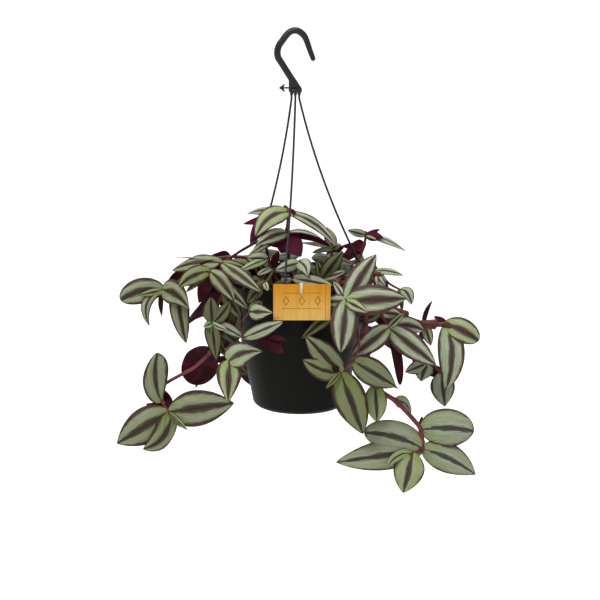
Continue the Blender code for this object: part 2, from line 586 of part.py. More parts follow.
def make_pot(made):
    low = -POT_DEPTH
    turn = POT_FOOT_ROUND
    foot = POT_FOOT_R - turn
    outer = [(0.0, low)]
    inner = [(0.0, low + POT_WALL + 0.5)]
    for i in range(4):
        a = math.radians(30 * i)
        outer.append((foot + turn * math.sin(a), low + turn - turn * math.cos(a)))
        inner.append((foot - POT_WALL + turn * math.sin(a), low + 0.5 + POT_WALL + turn - turn * math.cos(a)))
    outer += [(POT_TOP_R, -POT_RIM_DEPTH), (POT_RIM_R, -POT_RIM_DEPTH), (POT_RIM_R, -0.6),
              (POT_RIM_R - 0.6, 0.0)]
    inner += [(wall_r(-1.0) - POT_WALL, -1.0), (wall_r(-1.0) - POT_WALL + 0.4, 0.0)]
    pot = solid("pot", *lathe(outer + inner[::-1], POT_SIDES), made, smooth=True)
    lugs, holes = [], []
    for _, bearing in STRANDS:
        a = math.radians(bearing)
        x, y = LUG_R * math.cos(a), LUG_R * math.sin(a)
        verts, faces = box((-4.0, -LUG_SIZE[1] / 2, -LUG_SIZE[2]), (LUG_SIZE[0] - 4.0, LUG_SIZE[1] / 2, -0.4))
        lugs.append(solid("lug", turned(verts, bearing, (x, y, 0.0)), faces))
        drill = ((0.0, -8.0), (LUG_HOLE_R, -8.0), (LUG_HOLE_R, 3.0), (0.0, 3.0))
        holes.append(solid("lug_hole", *lathe(drill, 12, (x, y))))
    for i in range(DRAIN_COUNT):
        a = math.tau * (i + 0.5) / DRAIN_COUNT
        centre = (DRAIN_RING_R * math.cos(a), DRAIN_RING_R * math.sin(a))
        drill = ((0.0, low - 3.0), (DRAIN_R, low - 3.0), (DRAIN_R, low + 5.0), (0.0, low + 5.0))
        holes.append(solid("drain", *lathe(drill, 12, centre)))
    combine(pot, "UNION", lugs)
    combine(pot, "DIFFERENCE", holes)
    return pot


def make_soil(made):
    low = -POT_DEPTH + POT_WALL + 0.5 + GAP
    inside = POT_FOOT_R - POT_WALL
    foot = inside - POT_FOOT_ROUND
    profile = [(0.0, low), (foot - GAP, low), (inside - GAP - 2.2, low + 2.2),
               (inside - GAP, low + POT_FOOT_ROUND),
               (wall_r(SOIL_TOP) - POT_WALL - GAP - 0.4, SOIL_TOP), (0.0, SOIL_TOP)]
    return solid("soil", *lathe(profile, POT_SIDES), made)


def socket_place(bearing):
    """Where a strand meets the hub: the sockets face front, right and left in even thirds."""
    a = math.radians({"front": -90.0, "right": 30.0, "left": 150.0}[bearing])
    return (HUB_X + SOCKET_RING_R * math.cos(a), SOCKET_RING_R * math.sin(a))


def make_hook(made):
    route = smooth_route(HOOK_ROUTE, 2)
    last = len(route) - 1
    radii = [HOOK_R - (HOOK_R - HOOK_TIP_R) * max(0.0, 1 - 4 * i / last) for i in range(last + 1)]
    out = (route[0] - route[1]).normalized()
    route = [route[0] + out * 2.3, route[0] + out * 1.5] + route
    radii = [1.0, 2.0] + radii
    hook = solid("hanger_hook", *tube(route, radii, 8), made, smooth=True)
    disc = solid("hub", *lathe(((0.0, HUB_LOW), (HUB_R, HUB_LOW), (HUB_R, HUB_HIGH), (0.0, HUB_HIGH)),
                               16, (HUB_X, 0.0)))
    web = ((-11.0, 184.2), (1.9, 184.2), (1.5, 185.8), (-5.7, 196.6), (-9.0, 197.2), (-11.0, 193.2))
    gusset = solid("gusset", *extruded(web, -2.7, 2.7, 1))
    tail = ((-10.0, 186.5), (-16.0, 186.5), (-14.4, 189.2), (-15.6, 189.5), (-20.6, 185.75),
            (-15.6, 182.0), (-14.4, 182.3), (-16.0, 185.0), (-10.0, 185.0))
    arrow = solid("arrow", *extruded(tail, -0.9, 0.9, 1))
    sockets = []
    for which, _ in STRANDS:
        low, high = HUB_LOW - 2.0, HUB_LOW + 2.4
        drill = ((0.0, low), (SOCKET_R, low), (SOCKET_R, high), (0.0, high))
        sockets.append(solid("socket", *lathe(drill, 10, socket_place(which))))
    combine(hook, "UNION", [disc, gusset, arrow])
    combine(hook, "DIFFERENCE", sockets)
    return hook


def make_strand(which, bearing, made):
    a = math.radians(bearing)
    hx, hy = socket_place(which)
    lx, ly = LUG_R * math.cos(a), LUG_R * math.sin(a)
    neck = HUB_LOW - 6.2
    start, end = Vector((hx, hy, neck)), Vector((lx, ly, 3.5))
    bend = (start + end) / 2 - Vector((math.cos(a), math.sin(a), 0.0)) * STRAND_BOW
    points = [Vector((hx, hy, HUB_LOW + 2.0)), Vector((hx, hy, HUB_LOW - GAP + 0.02)),
              Vector((hx, hy, HUB_LOW - GAP)), Vector((hx, hy, HUB_LOW - 3.0)), start]
    radii = [STRAND_PLUG_R, STRAND_PLUG_R, STRAND_NECK_R, 1.3, STRAND_R]
    for i in range(1, 11):
        t = i / 10
        points.append(start * (1 - t) ** 2 + bend * (2 * t * (1 - t)) + end * t * t)
        radii.append(STRAND_R)
    under = -LUG_SIZE[2] - GAP
    points += [Vector((lx, ly, under + 0.02)), Vector((lx, ly, under)), Vector((lx, ly, under - 3.0))]
    radii += [STRAND_R, BARB_R, 0.7]
    strand = solid("hanger_strand_" + which, *tube(points, radii, 8), made, smooth=True)
    verts, faces = box((-0.75, -4.7, -0.75), (0.75, 4.7, 0.75))
    above, below = [(p, q) for p, q in zip(points, points[1:]) if p.z >= CROSSBAR_Z > q.z][0]
    near = above.lerp(below, (above.z - CROSSBAR_Z) / (above.z - below.z))
    bar = solid("crossbar", turned(verts, bearing, near), faces)
    return combine(strand, "UNION", [bar])


def make_label(card_made, clip_made):
    half = Vector(CARD_SIZE) / 2
    centre = Vector(CARD_CENTRE)
    card = solid("label_card", *box(centre - half, centre + half), card_made)
    outline = strip_outline(CLIP_ROUTE, CLIP_THICK)
    low, high = CLIP_X - CLIP_WIDTH / 2, CLIP_X + CLIP_WIDTH / 2
    clip = solid("label_clip", *extruded(outline, low, high, 0), clip_made)
    return card, clip


def half_share(s, rise, fall):
    """How much of its greatest width a leaf's half has at a share s of the length."""
    peak = rise / (rise + fall)
    return (s / peak) ** rise * ((1 - s) / (1 - peak)) ** fall


def leaf(base, tip, width, face, outline, roll, arch, sweep, fold):
    """A thin closed blade from base to tip. A half's width at a share s of the length is
    width/2 * s^rise * (1-s)^fall over that curve's top. The halves are raised by the fold angle,
    the midrib is bowed by arch and bent sideways by sweep."""
    base, tip = Vector(base), Vector(tip)
    along = (tip - base).normalized()
    hint = Vector(FACE[face]) if isinstance(face, str) else Vector(face)
    normal = (hint - along * hint.dot(along)).normalized()
    normal = Matrix.Rotation(math.radians(roll), 3, along) @ normal
    side = along.cross(normal)
    bulge = normal * arch + side * sweep
    rise = math.radians(fold)
    verts = [base]
    for s in LEAF_STATIONS:
        middle = base + (tip - base) * s + bulge * (4 * s * (1 - s))
        tangent = ((tip - base) + bulge * (4 - 8 * s)).normalized()
        up = (normal - tangent * normal.dot(tangent)).normalized()
        out = tangent.cross(up)
        right, left = (width / 2 * half_share(s, *OUTLINE[outline][i:i + 2]) for i in (0, 2))
        verts += [middle + (up * math.sin(rise) - out * math.cos(rise)) * left,
                  middle + up * LEAF_HALF_THICK,
                  middle + (up * math.sin(rise) + out * math.cos(rise)) * right,
                  middle - up * LEAF_HALF_THICK]
    verts.append(tip)
    last = len(verts) - 1
    faces = []
    for i in range(4):
        j = (i + 1) % 4
        faces.append((0, 1 + j, 1 + i))
        for n in range(len(LEAF_STATIONS) - 1):
            a, b = 1 + 4 * n, 5 + 4 * n
            faces.append((a + i, a + j, b + j))
            faces.append((a + i, b + j, b + i))
        faces.append((last, last - 4 + i, last - 4 + j))
    return verts, faces


def make_shoot(name, radius, route, leaves, made):
    """A stem along its route and the leaves that grow from it, joined into one body."""
    points = smooth_route(route, STEM_STEPS, STEM_PULL)
    points[0] = Vector((route[0][0], route[0][1], STEM_FOOT))
    last = len(points) - 1
    radii = [radius * (1 - STEM_TAPER * i / last) for i in range(last + 1)]
    points.append(points[-1] + (points[-1] - points[-2]).normalized() * radius)
    radii.append(radius * BUD_SHARE)
    shoot = solid(name, *tube(points, radii, STEM_SIDES, (0.0, 0.0, 1.0)), made)
    parts = []
    for n, (k, tip, width, face, outline, roll, arch, sweep) in enumerate(leaves):
        fold = FOLD_LEAST + FOLD_SPREAD * math.sin(1.7 * n + len(name))
        start = Vector(route[k]) - (Vector(tip) - Vector(route[k])).normalized() * LEAF_ROOT * radius
        blade = leaf(start, tip, width, face, outline, roll, arch, sweep, fold)
        parts.append(solid("leaf", *blade))
    return combine(shoot, "UNION", parts)


def back_shoot(bearing, hang, hand):
    """Route and leaves of a shoot behind the pot: over the rim, then hanging on its bearing, its
    leaves by turns on one side and the other, two at the end; hand is 1 or -1."""
    a = math.radians(bearing)
    out = Vector((math.cos(a), math.sin(a), 0.0))
    along = Vector((-math.sin(a), math.cos(a), 0.0)) * hand
    levels = (STEM_FOOT, 1.8, 4.0, -10.0, -hang * 0.4, -hang * 0.72, -hang)
    route = [out * r + Vector((0.0, 0.0, z)) for r, z in zip(BACK_REACH, levels)]
    leaves = []
    for k, shift, drop, width in BACK_LEAVES:
        tip = route[k] + out * 18.0 + along * shift + Vector((0.0, 0.0, drop))
        leaves.append((k, tip, width, out + Vector((0.0, 0.0, 0.6)), "n", 0.0, 5.0, 0.0))
    return route, leaves


def main():
    for old in list(bpy.data.objects):
        bpy.data.objects.remove(old)
    plastic = material("pot_plastic", (0.014, 0.014, 0.012), 0.55)
    peat = material("potting_soil", (0.03, 0.018, 0.01), 0.95)
    hanger = material("hanger_plastic", (0.012, 0.013, 0.014), 0.45)
    card = material("label_card_stock", (0.55, 0.3, 0.07), 0.6)
    clear = material("label_clip_plastic", (0.75, 0.7, 0.6), 0.35)
    green = material("leaf_and_stem", (0.16, 0.2, 0.11), 0.45)
    make_pot(plastic)
    make_soil(peat)
    make_hook(hanger)
    for which, bearing in STRANDS:
        make_strand(which, bearing, hanger)
    make_label(card, clear)
    for name, radius, route, leaves in SHOOTS:
        make_shoot(name, radius, route, leaves, green)
    for name, bearing, hang, hand in BACK_SHOOTS:
        make_shoot(name, 1.5, *back_shoot(bearing, hang, hand), green)


main()
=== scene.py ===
"""Tradescantia zebrina in its hanging pot. The pot, the soil, the label and the hanger keep the
frame's places; every shoot is grown again from its route and its leaves. Lengths are in mm from
the middle of the pot's rim, +Z up and +Y to the back, until place() moves them to the frame."""

import math
from functools import partial

import bpy
import numpy as np
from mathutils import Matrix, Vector


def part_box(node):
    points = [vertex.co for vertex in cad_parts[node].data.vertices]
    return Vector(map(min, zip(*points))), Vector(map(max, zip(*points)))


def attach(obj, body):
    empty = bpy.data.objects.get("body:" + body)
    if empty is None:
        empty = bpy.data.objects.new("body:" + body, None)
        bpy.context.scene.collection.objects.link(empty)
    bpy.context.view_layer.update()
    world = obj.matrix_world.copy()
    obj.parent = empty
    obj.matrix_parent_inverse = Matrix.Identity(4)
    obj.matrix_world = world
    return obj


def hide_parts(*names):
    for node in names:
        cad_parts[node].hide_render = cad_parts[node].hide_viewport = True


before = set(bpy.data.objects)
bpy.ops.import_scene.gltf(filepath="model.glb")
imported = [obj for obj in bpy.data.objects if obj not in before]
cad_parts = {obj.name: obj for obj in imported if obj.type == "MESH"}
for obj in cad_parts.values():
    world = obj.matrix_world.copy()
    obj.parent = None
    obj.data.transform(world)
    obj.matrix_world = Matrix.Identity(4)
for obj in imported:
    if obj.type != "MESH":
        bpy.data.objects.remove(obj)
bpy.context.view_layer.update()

bl_info = {
    "name": "Tradescantia hanging basket",
    "version": (1, 0, 0),
    "blender": (4, 5, 0),
    "location": "View3D > Sidebar > Plant",
    "description": "Builds a trailing silver-banded plant in its pot with hanger, label and stage",
    "category": "Add Mesh",
}

MM = 0.001
SEAT = np.array((-4.3, 0.0, 237.5))

# pot and soil
POT_TOP_R = 71.2
POT_FOOT_R = 48.0
POT_DEPTH = 131.5
POT_WALL = 1.5
POT_FLOOR = 2.0
POT_RIM_R = 75.0
POT_RIM_DEPTH = 4.0
POT_FOOT_ROUND = 7.0
POT_RING_STEP = 7.54
DRAIN_R = 4.0
DRAIN_RING_R = 28.0
DRAIN_COUNT = 5
SOIL_TOP = -12.5
SOIL_GAP = 0.3
SOIL_RINGS = 46
SOIL_SIDES = 128

# hanger: the hook's route in X and Z from its tip, its radius and its tip's
HOOK_ROUTE = (
    (12.6, 213.9), (9.4, 222.4), (6.4, 230.9), (3.8, 235.8), (0.0, 239.3), (-4.3, 240.8),
    (-9.2, 239.6), (-13.2, 236.0), (-17.0, 231.0), (-20.4, 226.0), (-21.9, 219.8), (-20.9, 214.4),
    (-18.4, 210.4), (-8.7, 195.2), (-2.9, 186.2),
)
HOOK_R = 3.3
HOOK_TIP_R = 2.5
HANGER_RING_STEP = 5.03
HUB_X = -4.5
HUB_R = 6.6
HUB_LOW = 181.7
HUB_HIGH = 184.8
HUB_EDGE = 0.4
# plates on the hub, its web and the arrow tail: outline in X and Z, half thickness; their bevel
HUB_PLATES = (
    (((-11.0, 184.2), (1.9, 184.2), (1.5, 185.8), (-5.7, 196.6), (-9.0, 197.2),
      (-11.0, 193.2)), 2.7),
    (((-10.0, 186.5), (-16.0, 186.5), (-14.4, 189.2), (-15.6, 189.5), (-20.6, 185.75),
      (-15.6, 182.0), (-14.4, 182.3), (-16.0, 185.0), (-10.0, 185.0)), 0.9),
)
PLATE_EDGE = 0.3
SOCKET_RING_R = 4.3
# the bearings of the strands' sockets in the hub and of their lugs, in degrees from +X
SOCKETS = {"front": -90.0, "right": 30.0, "left": 150.0}
STRANDS = {"front": -103.2, "right": 16.8, "left": 136.8}
LUG_R = 65.5
LUG_DEPTH = 3.0
LUG_THICK = 2.6
LUG_HALF = (4.5, 6.0)
LUG_CORNER = 2.0
LUG_OUTWARD = 0.5
LUG_HOLE_R = 1.6
STRAND_R = 1.1
STRAND_BOW = 12.0
STRAND_STEPS = 40
# its span starts that far over the hub's foot and ends that far over the rim
STRAND_ENDS = (-6.2, 3.5)
CROSSBAR_Z = 12.0
GAP = 0.3
# a strand's heights over the hub's foot and under its lug, and its radii there
PLUG_Z, PLUG_R = (2.0, -0.28, -0.3, -1.6, -3.0, -4.6), (1.2, 1.2, 1.9, 1.75, 1.3, 1.05)
BARB_Z, BARB_R = (0.02, 0.0, -0.5, -3.0), (STRAND_R, 2.3, 2.2, 0.7)
CROSSBAR_Y, CROSSBAR_R = (-4.7, -4.45, 4.45, 4.7), (0.75, 0.95, 0.95, 0.75)

# label: the card's corners, and the clip's route in Y and Z from its front end
CARD_CORNER = 0.6
CLIP_ROUTE = ((-78.9, -2.4), (-78.9, 7.5), (-76.7, 7.5), (-76.7, 0.7), (-69.0, 0.7), (-67.3, -9.0))
CLIP_X = 1.4
CLIP_WIDTH = 3.2
CLIP_THICK = 0.8

# leaves: how deep in the stem a blade starts as a share of the stem's radius, its grid, its
# twist in degrees, its thickness at the margin, and the fold's middle and spread in degrees
LEAF_ROOT = 0.5
LEAF_ROWS = 27
LEAF_COLUMNS = 13
LEAF_TWIST = 9.0
LEAF_SKIN = 0.06
FOLD_MIDDLE = 10.0
FOLD_SPREAD = 9.0
# stems: corners of a ring, rings a span, how much thinner the tip is, pull of the spline, foot's
# height; a sheath's length in stem radii
STEM_SIDES = 12
STEM_STEPS = 9
STEM_TAPER = 0.35
STEM_PULL = 0.28
STEM_FOOT = -12.2
SHEATH_LENGTH = 3.6
# the way a leaf's upper face looks: front, up and down
FACE = {"f": (0.0, -1.0, 0.25), "u": (0.0, -0.35, 1.0), "d": (0.0, 1.0, -0.25)}

# a leaf's age and painted shade: grown, young, painted shade, deeper painted shade deep inside
# the plant; the power of the shade colour that its own is multiplied by; how yellow a young one is
GROWN, YOUNG, SHADED, DEEP_SHADE = 0, 1, 2, 3
PAINTED_SHADE_POWER = {SHADED: 1.0, DEEP_SHADE: 2.2}
YOUTH = 0.55

# how much purple a shoot's leaves carry in their stripe and margin, 0 to 1, and where none is given
WINE_MOSTLY = 0.6
WINE = {
    "shoot_right_low": 0.1, "shoot_left_low": 0.7, "shoot_left_inner": 0.85,
    "shoot_left_rosette": 0.4, "shoot_front_right": 0.95, "shoot_right_mid": 1.0,
    "shoot_left_upper": 0.95, "shoot_right_far": 0.8, "shoot_left_far": 0.8,
    "shoot_top_tall": 0.9, "shoot_top_right": 0.3, "shoot_centre_small": 0.4,
    "shoot_front_low": 0.5, "shoot_right_behind": 0.5,
}

# painted shade on a shoot's grown leaves: the shade colour's power, 0 to 1; 0 where none is given
SHOOT_PAINTED_SHADE = {
    "shoot_left_low": 0.35, "shoot_left_far": 0.3, "shoot_left_upper": 0.35,
    "shoot_front_low": 0.55, "shoot_right_low": 0.1,
}

# shoots with swollen sheaths: from which route point on, and how many times as wide
SWOLLEN = {"shoot_right_far": (3, 1.45)}

# outlines of a leaf: rise and fall of its right half, seen from its base, then of its left half
OUTLINE = {
    "n": (0.55, 0.8, 0.55, 0.8),
    "w": (0.4, 1.05, 0.4, 1.05),
    "b": (0.5, 0.5, 0.5, 0.5),
    "k": (0.9, 0.45, 0.4, 0.8),
}

# name, stem radius, stem age from 0 pink to 1 brown to 2 nearly black, the last partly painted
# shade, stem route, and the leaves, each as leaf() takes it
SHOOTS = (
    ("shoot_left_far", 1.7, 0.5, (
        (-34, 8, -12), (-54, 10, 16), (-84, 6, 16), (-112, 2, 4), (-121.4, -4, -5.9),
        (-136.3, -6, -13.6),
    ), (
        (5, (-178.1, -12, -22.5), 27, "f", 4, GROWN, 4, 0, "b"),
        (5, (-148.7, -22, -46.6), 11, "f", 5, GROWN, 10),
        (5, (-159.5, -18, -16.6), 8, "f", 2, YOUNG),
        (5, (-108, -30, -28.6), 25, "f", 4, GROWN, -5, 10, "w"),
        (4, (-113.3, -14, -65.9), 21, "f", 4, GROWN, 2), (3, (-134.4, 2, -12.7), 14, "d", 2),
        (5, (-138.3, 0, -42), 6, "d", 1, GROWN, -2, 20), (2, (-90.6, 34, 0.9), 16, "u", 4),
    )),
    ("shoot_left_upper", 1.8, 1.8, (
        (-24, -4, -12), (-31, -1, 16), (-36.6, -2, 36.2), (-55, -16, 29.7), (-75.7, -36, 19.5),
        (-86.8, -48, 13.4),
    ), (
        (5, (-116.8, -50, -1.6), 18, "f", 4, YOUNG, 3.5),
        (5, (-63.1, -66, -11.7), 18, "f", 4, GROWN, -2.5),
        (4, (-125.6, -22, 9.3), 22, (0, -0.7, 0.8), 6),
        (4, (-128.8, -16, 21.7), 8, "u", 2, GROWN, 0, 25),
        (4, (-36.2, -79, -0.7), 17, (0, -0.7, 0.8), 6, GROWN, 2),
        (5, (-49.2, -68, -19.6), 15, "f", 4), (4, (-52.2, -44, 16.1), 11, "f", 3),
        (5, (-110.5, -44, -7.6), 9, "f", 2, SHADED, 0, 20), (5, (-98.2, -42, -19), 14, "d", 2),
        (4, (-86.7, -30, 24.3), 5, "d", 1), (4, (-68.7, -30, 23.8), 6, "d", 1),
        (4, (-97.9, -38, 18.9), 8, "d", 2), (4, (-86.6, -26, -26.5), 22, "d", 2),
        (4, (-76.1, -38, -25.8), 14, "d", 2),
    )),
    ("shoot_left_rosette", 1.6, 0.8, (
        (-30, -24, -12), (-50, -38, 4), (-62, -46, 4), (-74, -50, -6), (-85.3, -50, -37.1),
    ), (
        (4, (-85.5, -58, -9.1), 18, "f", 3, SHADED),
        (4, (-66.8, -56, -12.9), 14, "f", 3, SHADED, 2),
        (4, (-93.4, -56, -39.6), 8, "f", 1, YOUNG),
        (4, (-69.3, -62, -41.2), 7, "f", 2, GROWN, 0, 30),
        (4, (-52.8, -54, -52.5), 12, "f", 3, GROWN, -3, 25),
        (4, (-80.9, -60, -72.5), 18, "f", 2, SHADED, 0, 0, "w"),
        (4, (-70.7, -50, -71.1), 12, "f", 2, SHADED, 3, -30),
        (3, (-104.9, -34, -36.8), 15, "d", 2), (3, (-57, -54, -31.2), 15, "f", 3, SHADED),
        (1, (-35, -40, -3.5), 14, "f", 3, SHADED),
        (4, (-72.9, -58, -47.1), 8, "d", 1, GROWN, 0, 25),
        (4, (-56.5, -48, -60.5), 12, "f", 2, SHADED),
    )),
    ("shoot_left_low", 2.3, 0.1, (
        (-34, -16, -12), (-56, -27, 7), (-67, -36, 3), (-69, -44, -25.5), (-76.4, -38, -50.9),
        (-86, -44, -66.6), (-104, -42, -83.7), (-133.3, -36, -102.2), (-136.6, -36, -118.6),
        (-130.1, -40, -129.7),
    ), (
        (8, (-139.7, -46, -67.6), 28, "f", 3, GROWN, -4, 0, "k"),
        (9, (-180.3, -52, -158.5), 37, "f", 5), (9, (-64.4, -58, -115.3), 36, "f", 5),
        (9, (-154.2, -58, -162.2), 31, "f", 5, YOUNG, -8, -45),
        (9, (-110.2, -58, -142.8), 7, "f", 1, YOUNG),
        (9, (-116.7, -56, -140.8), 5, "f", 1, SHADED), (9, (-136.6, -28, -109), 14, "d", 2),
        (9, (-153.2, -30, -124.4), 11, "d", 1),
        (5, (-112.8, -26, -101.8), 37, "d", 3, GROWN, 0, 0, "b"),
        (4, (-86.8, -16, -79.8), 15, (-0.5, 0.8, 0.3), 3),
    )),
    ("shoot_left_inner", 1.6, 0.8, (
        (-22, -34, -12), (-42, -48, 4), (-50, -57, 4.5), (-60.5, -53, -14), (-67.2, -47, -52.8),
        (-68.3, -60, -72.5),
    ), (
        (5, (-69.8, -68, -113.4), 25, "f", 4, YOUNG, 0, 0, "w"),
        (4, (-60.1, -46, -18.1), 17, "f", 2, SHADED),
        (5, (-35.5, -70, -60.5), 27, "f", 4, GROWN, -4, 0, "w"),
        (5, (-50.7, -54, -88.1), 10, "f", 1, SHADED), (5, (-82, -48, -73.6), 9, "d", 1),
    )),
    ("shoot_top_tall", 2.2, 0.2, (
        (-8, 10, -12), (-12, 8, 22), (-12.9, 6, 41.8), (-11.4, 2, 62.6),
    ), (
        (3, (-43.4, -24, 43), 23, "f", 6, YOUNG, 5.5, 14),
        (2, (-43.2, -32, 36), 15, "f", 4, GROWN, 2), (3, (-52.5, 4, 61.7), 11, (0, -0.7, 0.7), 6),
        (3, (-56.2, -6, 52.9), 10, "d", 5), (3, (-49.6, 14, 26.2), 18, "d", 2, GROWN, -9),
        (2, (-35.4, -14, 36.8), 20, "d", 2, GROWN, 2), (2, (1, -14, 21.3), 19, "d", 2),
        (3, (35.9, -14, 31.3), 12, (0, -0.8, 0.6), 2, GROWN, -6),
        (2, (30.7, -4, 30), 13, (0, 0.8, 0.6), 5), (2, (20.7, -12, 39.9), 7, (0, -0.6, 0.8), 7),
        (3, (-3.9, -4, 64.5), 8, "d", 2), (3, (-15.8, 4, 70.7), 6, "d", 1),
        (2, (-51.6, -18, 22.5), 11, (0, -0.7, 0.7), 4),
    )),
    ("shoot_top_left", 1.6, 0.4, (
        (-20, -16, -12), (-28.4, -22, 11.8), (-31.8, -24, 21.2),
    ), (
        (1, (-54, -20, 15.4), 9, "u", 4), (2, (-51.9, -36, 24.4), 15, "f", 3, GROWN, 0, -4),
        (2, (-58.8, -52, 14.7), 9, "f", 3, YOUNG, 0, 10), (1, (-20.4, -34, 31), 8, "d", 2),
        (1, (-37, -36, -2.3), 10, "f", 2, SHADED),
        (1, (-41.6, -44, 9.2), 8, "f", 1, GROWN, 0, 25),
    )),
    ("shoot_top_right", 1.7, 0.4, (
        (20, 2, -12), (26, 0, 12), (30.9, 4, 16.9), (32.9, 6, 26.7),
    ), (
        (3, (26.9, 8, 47.5), 13, "f", 2), (3, (40.6, -2, 32.1), 8, "f", 2),
        (3, (11.9, 0, 22.7), 11, "u", 2, SHADED), (3, (-3, 14, 30.3), 9, "u", 2, SHADED),
        (2, (36.5, -14, 16.3), 11, "f", 2, SHADED), (2, (10.9, -6, 18.8), 10, "u", 2, SHADED),
        (2, (25.4, -26, 9.6), 9, "f", 1),
    )),
    ("shoot_centre_small", 1.5, 0.4, (
        (2, -24, -12), (-2, -28, 6), (-6.8, -36, 4.6), (-0.5, -32, 19.2),
    ), (
        (3, (-24.2, -42, 13.4), 13, "f", 3),
        (3, (7.7, -50, 8.1), 16, "f", 3, GROWN, -2.5, 0, "w"), (2, (31.7, -58, 1.7), 14, "f", 2),
    )),
    ("shoot_right_upper", 2.0, 0.35, (
        (34, 20, -12), (50, 26, 4), (59.8, 30, 12), (64.8, 30, 24.4), (66.6, 28, 36),
    ), (
        (4, (106, 18, 21.4), 9, "u", 5, GROWN, 0, 15),
        (4, (47.7, 20, 42.5), 9, "f", 1, GROWN, 0, -20), (4, (83.2, 16, 35.5), 11, "d", 1),
        (4, (80.5, 24, 42.8), 5, "d", 1), (3, (51.7, 32, 26.1), 12, "d", 2),
        (3, (42, 30, 24.4), 8, "d", 3), (3, (43, 26, 6.6), 13, "d", 2, GROWN, -3),
    )),
    ("shoot_right_back", 1.6, 0.4, (
        (40, 6, -12), (56, 6, 8), (74.8, 2, 4.1), (90, 4, -9.6), (101, 2, -15.3),
    ), (
        (2, (102.7, -6, 1.1), 9, "u", 4, GROWN, 0, 25),
        (2, (84.4, -8, -9.1), 10, (0.3, -0.5, 1), 4),
        (4, (110.8, -10, -27.5), 13, "f", 4, GROWN, -3),
        (4, (95.6, -8, -31.5), 10, "f", 2, SHADED), (4, (101.9, -4, -37.5), 5, "f", 1, SHADED),
    )),
    ("shoot_front_right", 1.9, 0.4, (
        (22, -42, -12), (34, -58, 7), (44.2, -74, -10),
    ), (
        (2, (73.5, -46, 29.9), 23, "f", 5, GROWN, -1), (2, (101.2, -74, -7.4), 30, "f", 5),
        (2, (38.4, -90, -56.9), 28, "f", 5), (2, (63.9, -94, -16.7), 12, "f", 3, YOUNG),
        (2, (22.9, -71, -11.6), 14, "f", 2), (2, (31.6, -62, 7), 9, "f", 1),
        (2, (1, -71, -47.9), 15, "f", 0, SHADED),
    )),
    ("shoot_right_mid", 1.8, 0.4, (
        (30, -30, -12), (57, -46, 8), (77.5, -50, -26.1), (85.6, -54, -40.6),
    ), (
        (3, (48.9, -72, -65.4), 23, "f", 5), (3, (131.6, -62, -76), 25, "f", 5),
        (3, (100.4, -62, -23.9), 8, "f", 1, YOUNG),
        (3, (121.4, -38, -47.9), 19, "f", 4, GROWN, -4), (2, (99.4, -42, -30.9), 13, "f", 2),
        (3, (98.2, -44, -101), 10, "d", 3, GROWN, 3, 0, "b"),
        (2, (55, -58, -35.2), 13, "f", 2, SHADED), (3, (92.8, -28, -60.4), 19, (1, 0, 0.3), 3),
    )),
    ("shoot_right_far", 3.4, 1.0, (
        (36, -8, -12), (60, -14, 4.4), (77, -18, 3.6), (92.6, -24, -31), (122.8, -20, -45),
        (144.6, -20, -45.6), (155.3, -22, -49.7),
    ), (
        (5, (175.9, -30, -59.9), 25, "f", 4, YOUNG, -2, 0, "b"),
        (5, (143, -40, -108.2), 27, "f", 6, GROWN, -5.5), (5, (133.4, -10, -39.2), 8, "d", 1),
        (4, (130.6, -14, -68.5), 12, "f", 2, YOUNG), (4, (131.2, -16, -22), 5, "d", 1, GROWN, 2),
        (2, (84, -32, -4.1), 9, "f", 2, GROWN, 2), (2, (76.3, -30, -5.6), 8, "f", 2),
        (3, (80.2, 4, -24.9), 18, (0.9, -0.1, 0.4), 3),
        (4, (117.5, -4, -71.5), 17, (1, 0, 0.2), 3),
    )),
    ("shoot_right_behind", 2.3, 0.9, (
        (37, 14, -12), (58, 14, 7.5), (75, 11, 5.5), (92.3, 2, -35.8), (108.3, -4, -63.2),
        (130.8, -4, -88), (141.9, -6, -98.9),
    ), (
        (5, (121.7, -9, -107), 20, "f", 2, GROWN, 2), (5, (105.7, -6, -97.9), 16, "f", 2),
        (6, (125.7, 6, -96.9), 13, "d", 1), (6, (145.8, -14, -131.6), 25, "f", 4),
        (2, (85.9, 34, -32.4), 16, (0.3, 0.8, 0.5), 4),
        (3, (100.2, 26, -70.5), 19, (0.7, 0.6, 0.4), 4),
        (4, (117.8, 22, -99), 20, (0.7, 0.6, 0.3), 4),
        (6, (152.5, 14, -128.6), 20, (1, -0.1, 0.2), 3),
    )),
    ("shoot_front_low", 1.7, 0.15, (
        (26, -46, -12), (42, -60, 5), (48, -64, 1), (52, -66, -20), (56.2, -80, -50.6),
        (51.1, -80, -67.3), (38.6, -84, -77.6),
    ), (
        (6, (5.2, -90, -40.2), 26, "f", 5), (6, (2.4, -98, -61), 21, "f", 4, YOUNG, -3),
        (6, (60.6, -84, -138.8), 32, "f", 6, YOUNG), (6, (24.3, -98, -89.8), 6, "f", 1, YOUNG),
        (5, (92.3, -76, -93.7), 27, "f", 4), (5, (95.3, -68, -98.2), 10, "f", 2, GROWN, 0, 20),
        (6, (30.2, -96, -67.6), 7, "d", 1),
    )),
    ("shoot_right_low", 2.9, 0.1, (
        (32, -38, -12), (52, -56, 7), (63, -61, -12), (63.6, -64, -55.6), (72.8, -62, -97),
        (93.6, -58, -113.3), (111.8, -54, -133.8), (119, -52, -144.6), (120.8, -52, -164.1),
        (109.8, -62, -166.1),
    ), (
        (8, (62.7, -58, -145.3), 33, "f", 5, GROWN, 4.5, 0, "b"),
        (8, (35.1, -72, -171), 30, "f", 5), (8, (172.7, -60, -187.8), 30, "f", 5, GROWN, -3),
        (9, (100.7, -74, -201.8), 32, "f", 6, YOUNG),
        (9, (83.1, -80, -176.7), 11, "f", 2, YOUNG, 6),
        (7, (170.7, -56, -144.9), 38, "f", 4, GROWN, -3, 0, "b"),
        (7, (120.4, -44, -132.7), 6, "d", 1), (4, (74.9, -66, -132.5), 23, "f", 3, YOUNG),
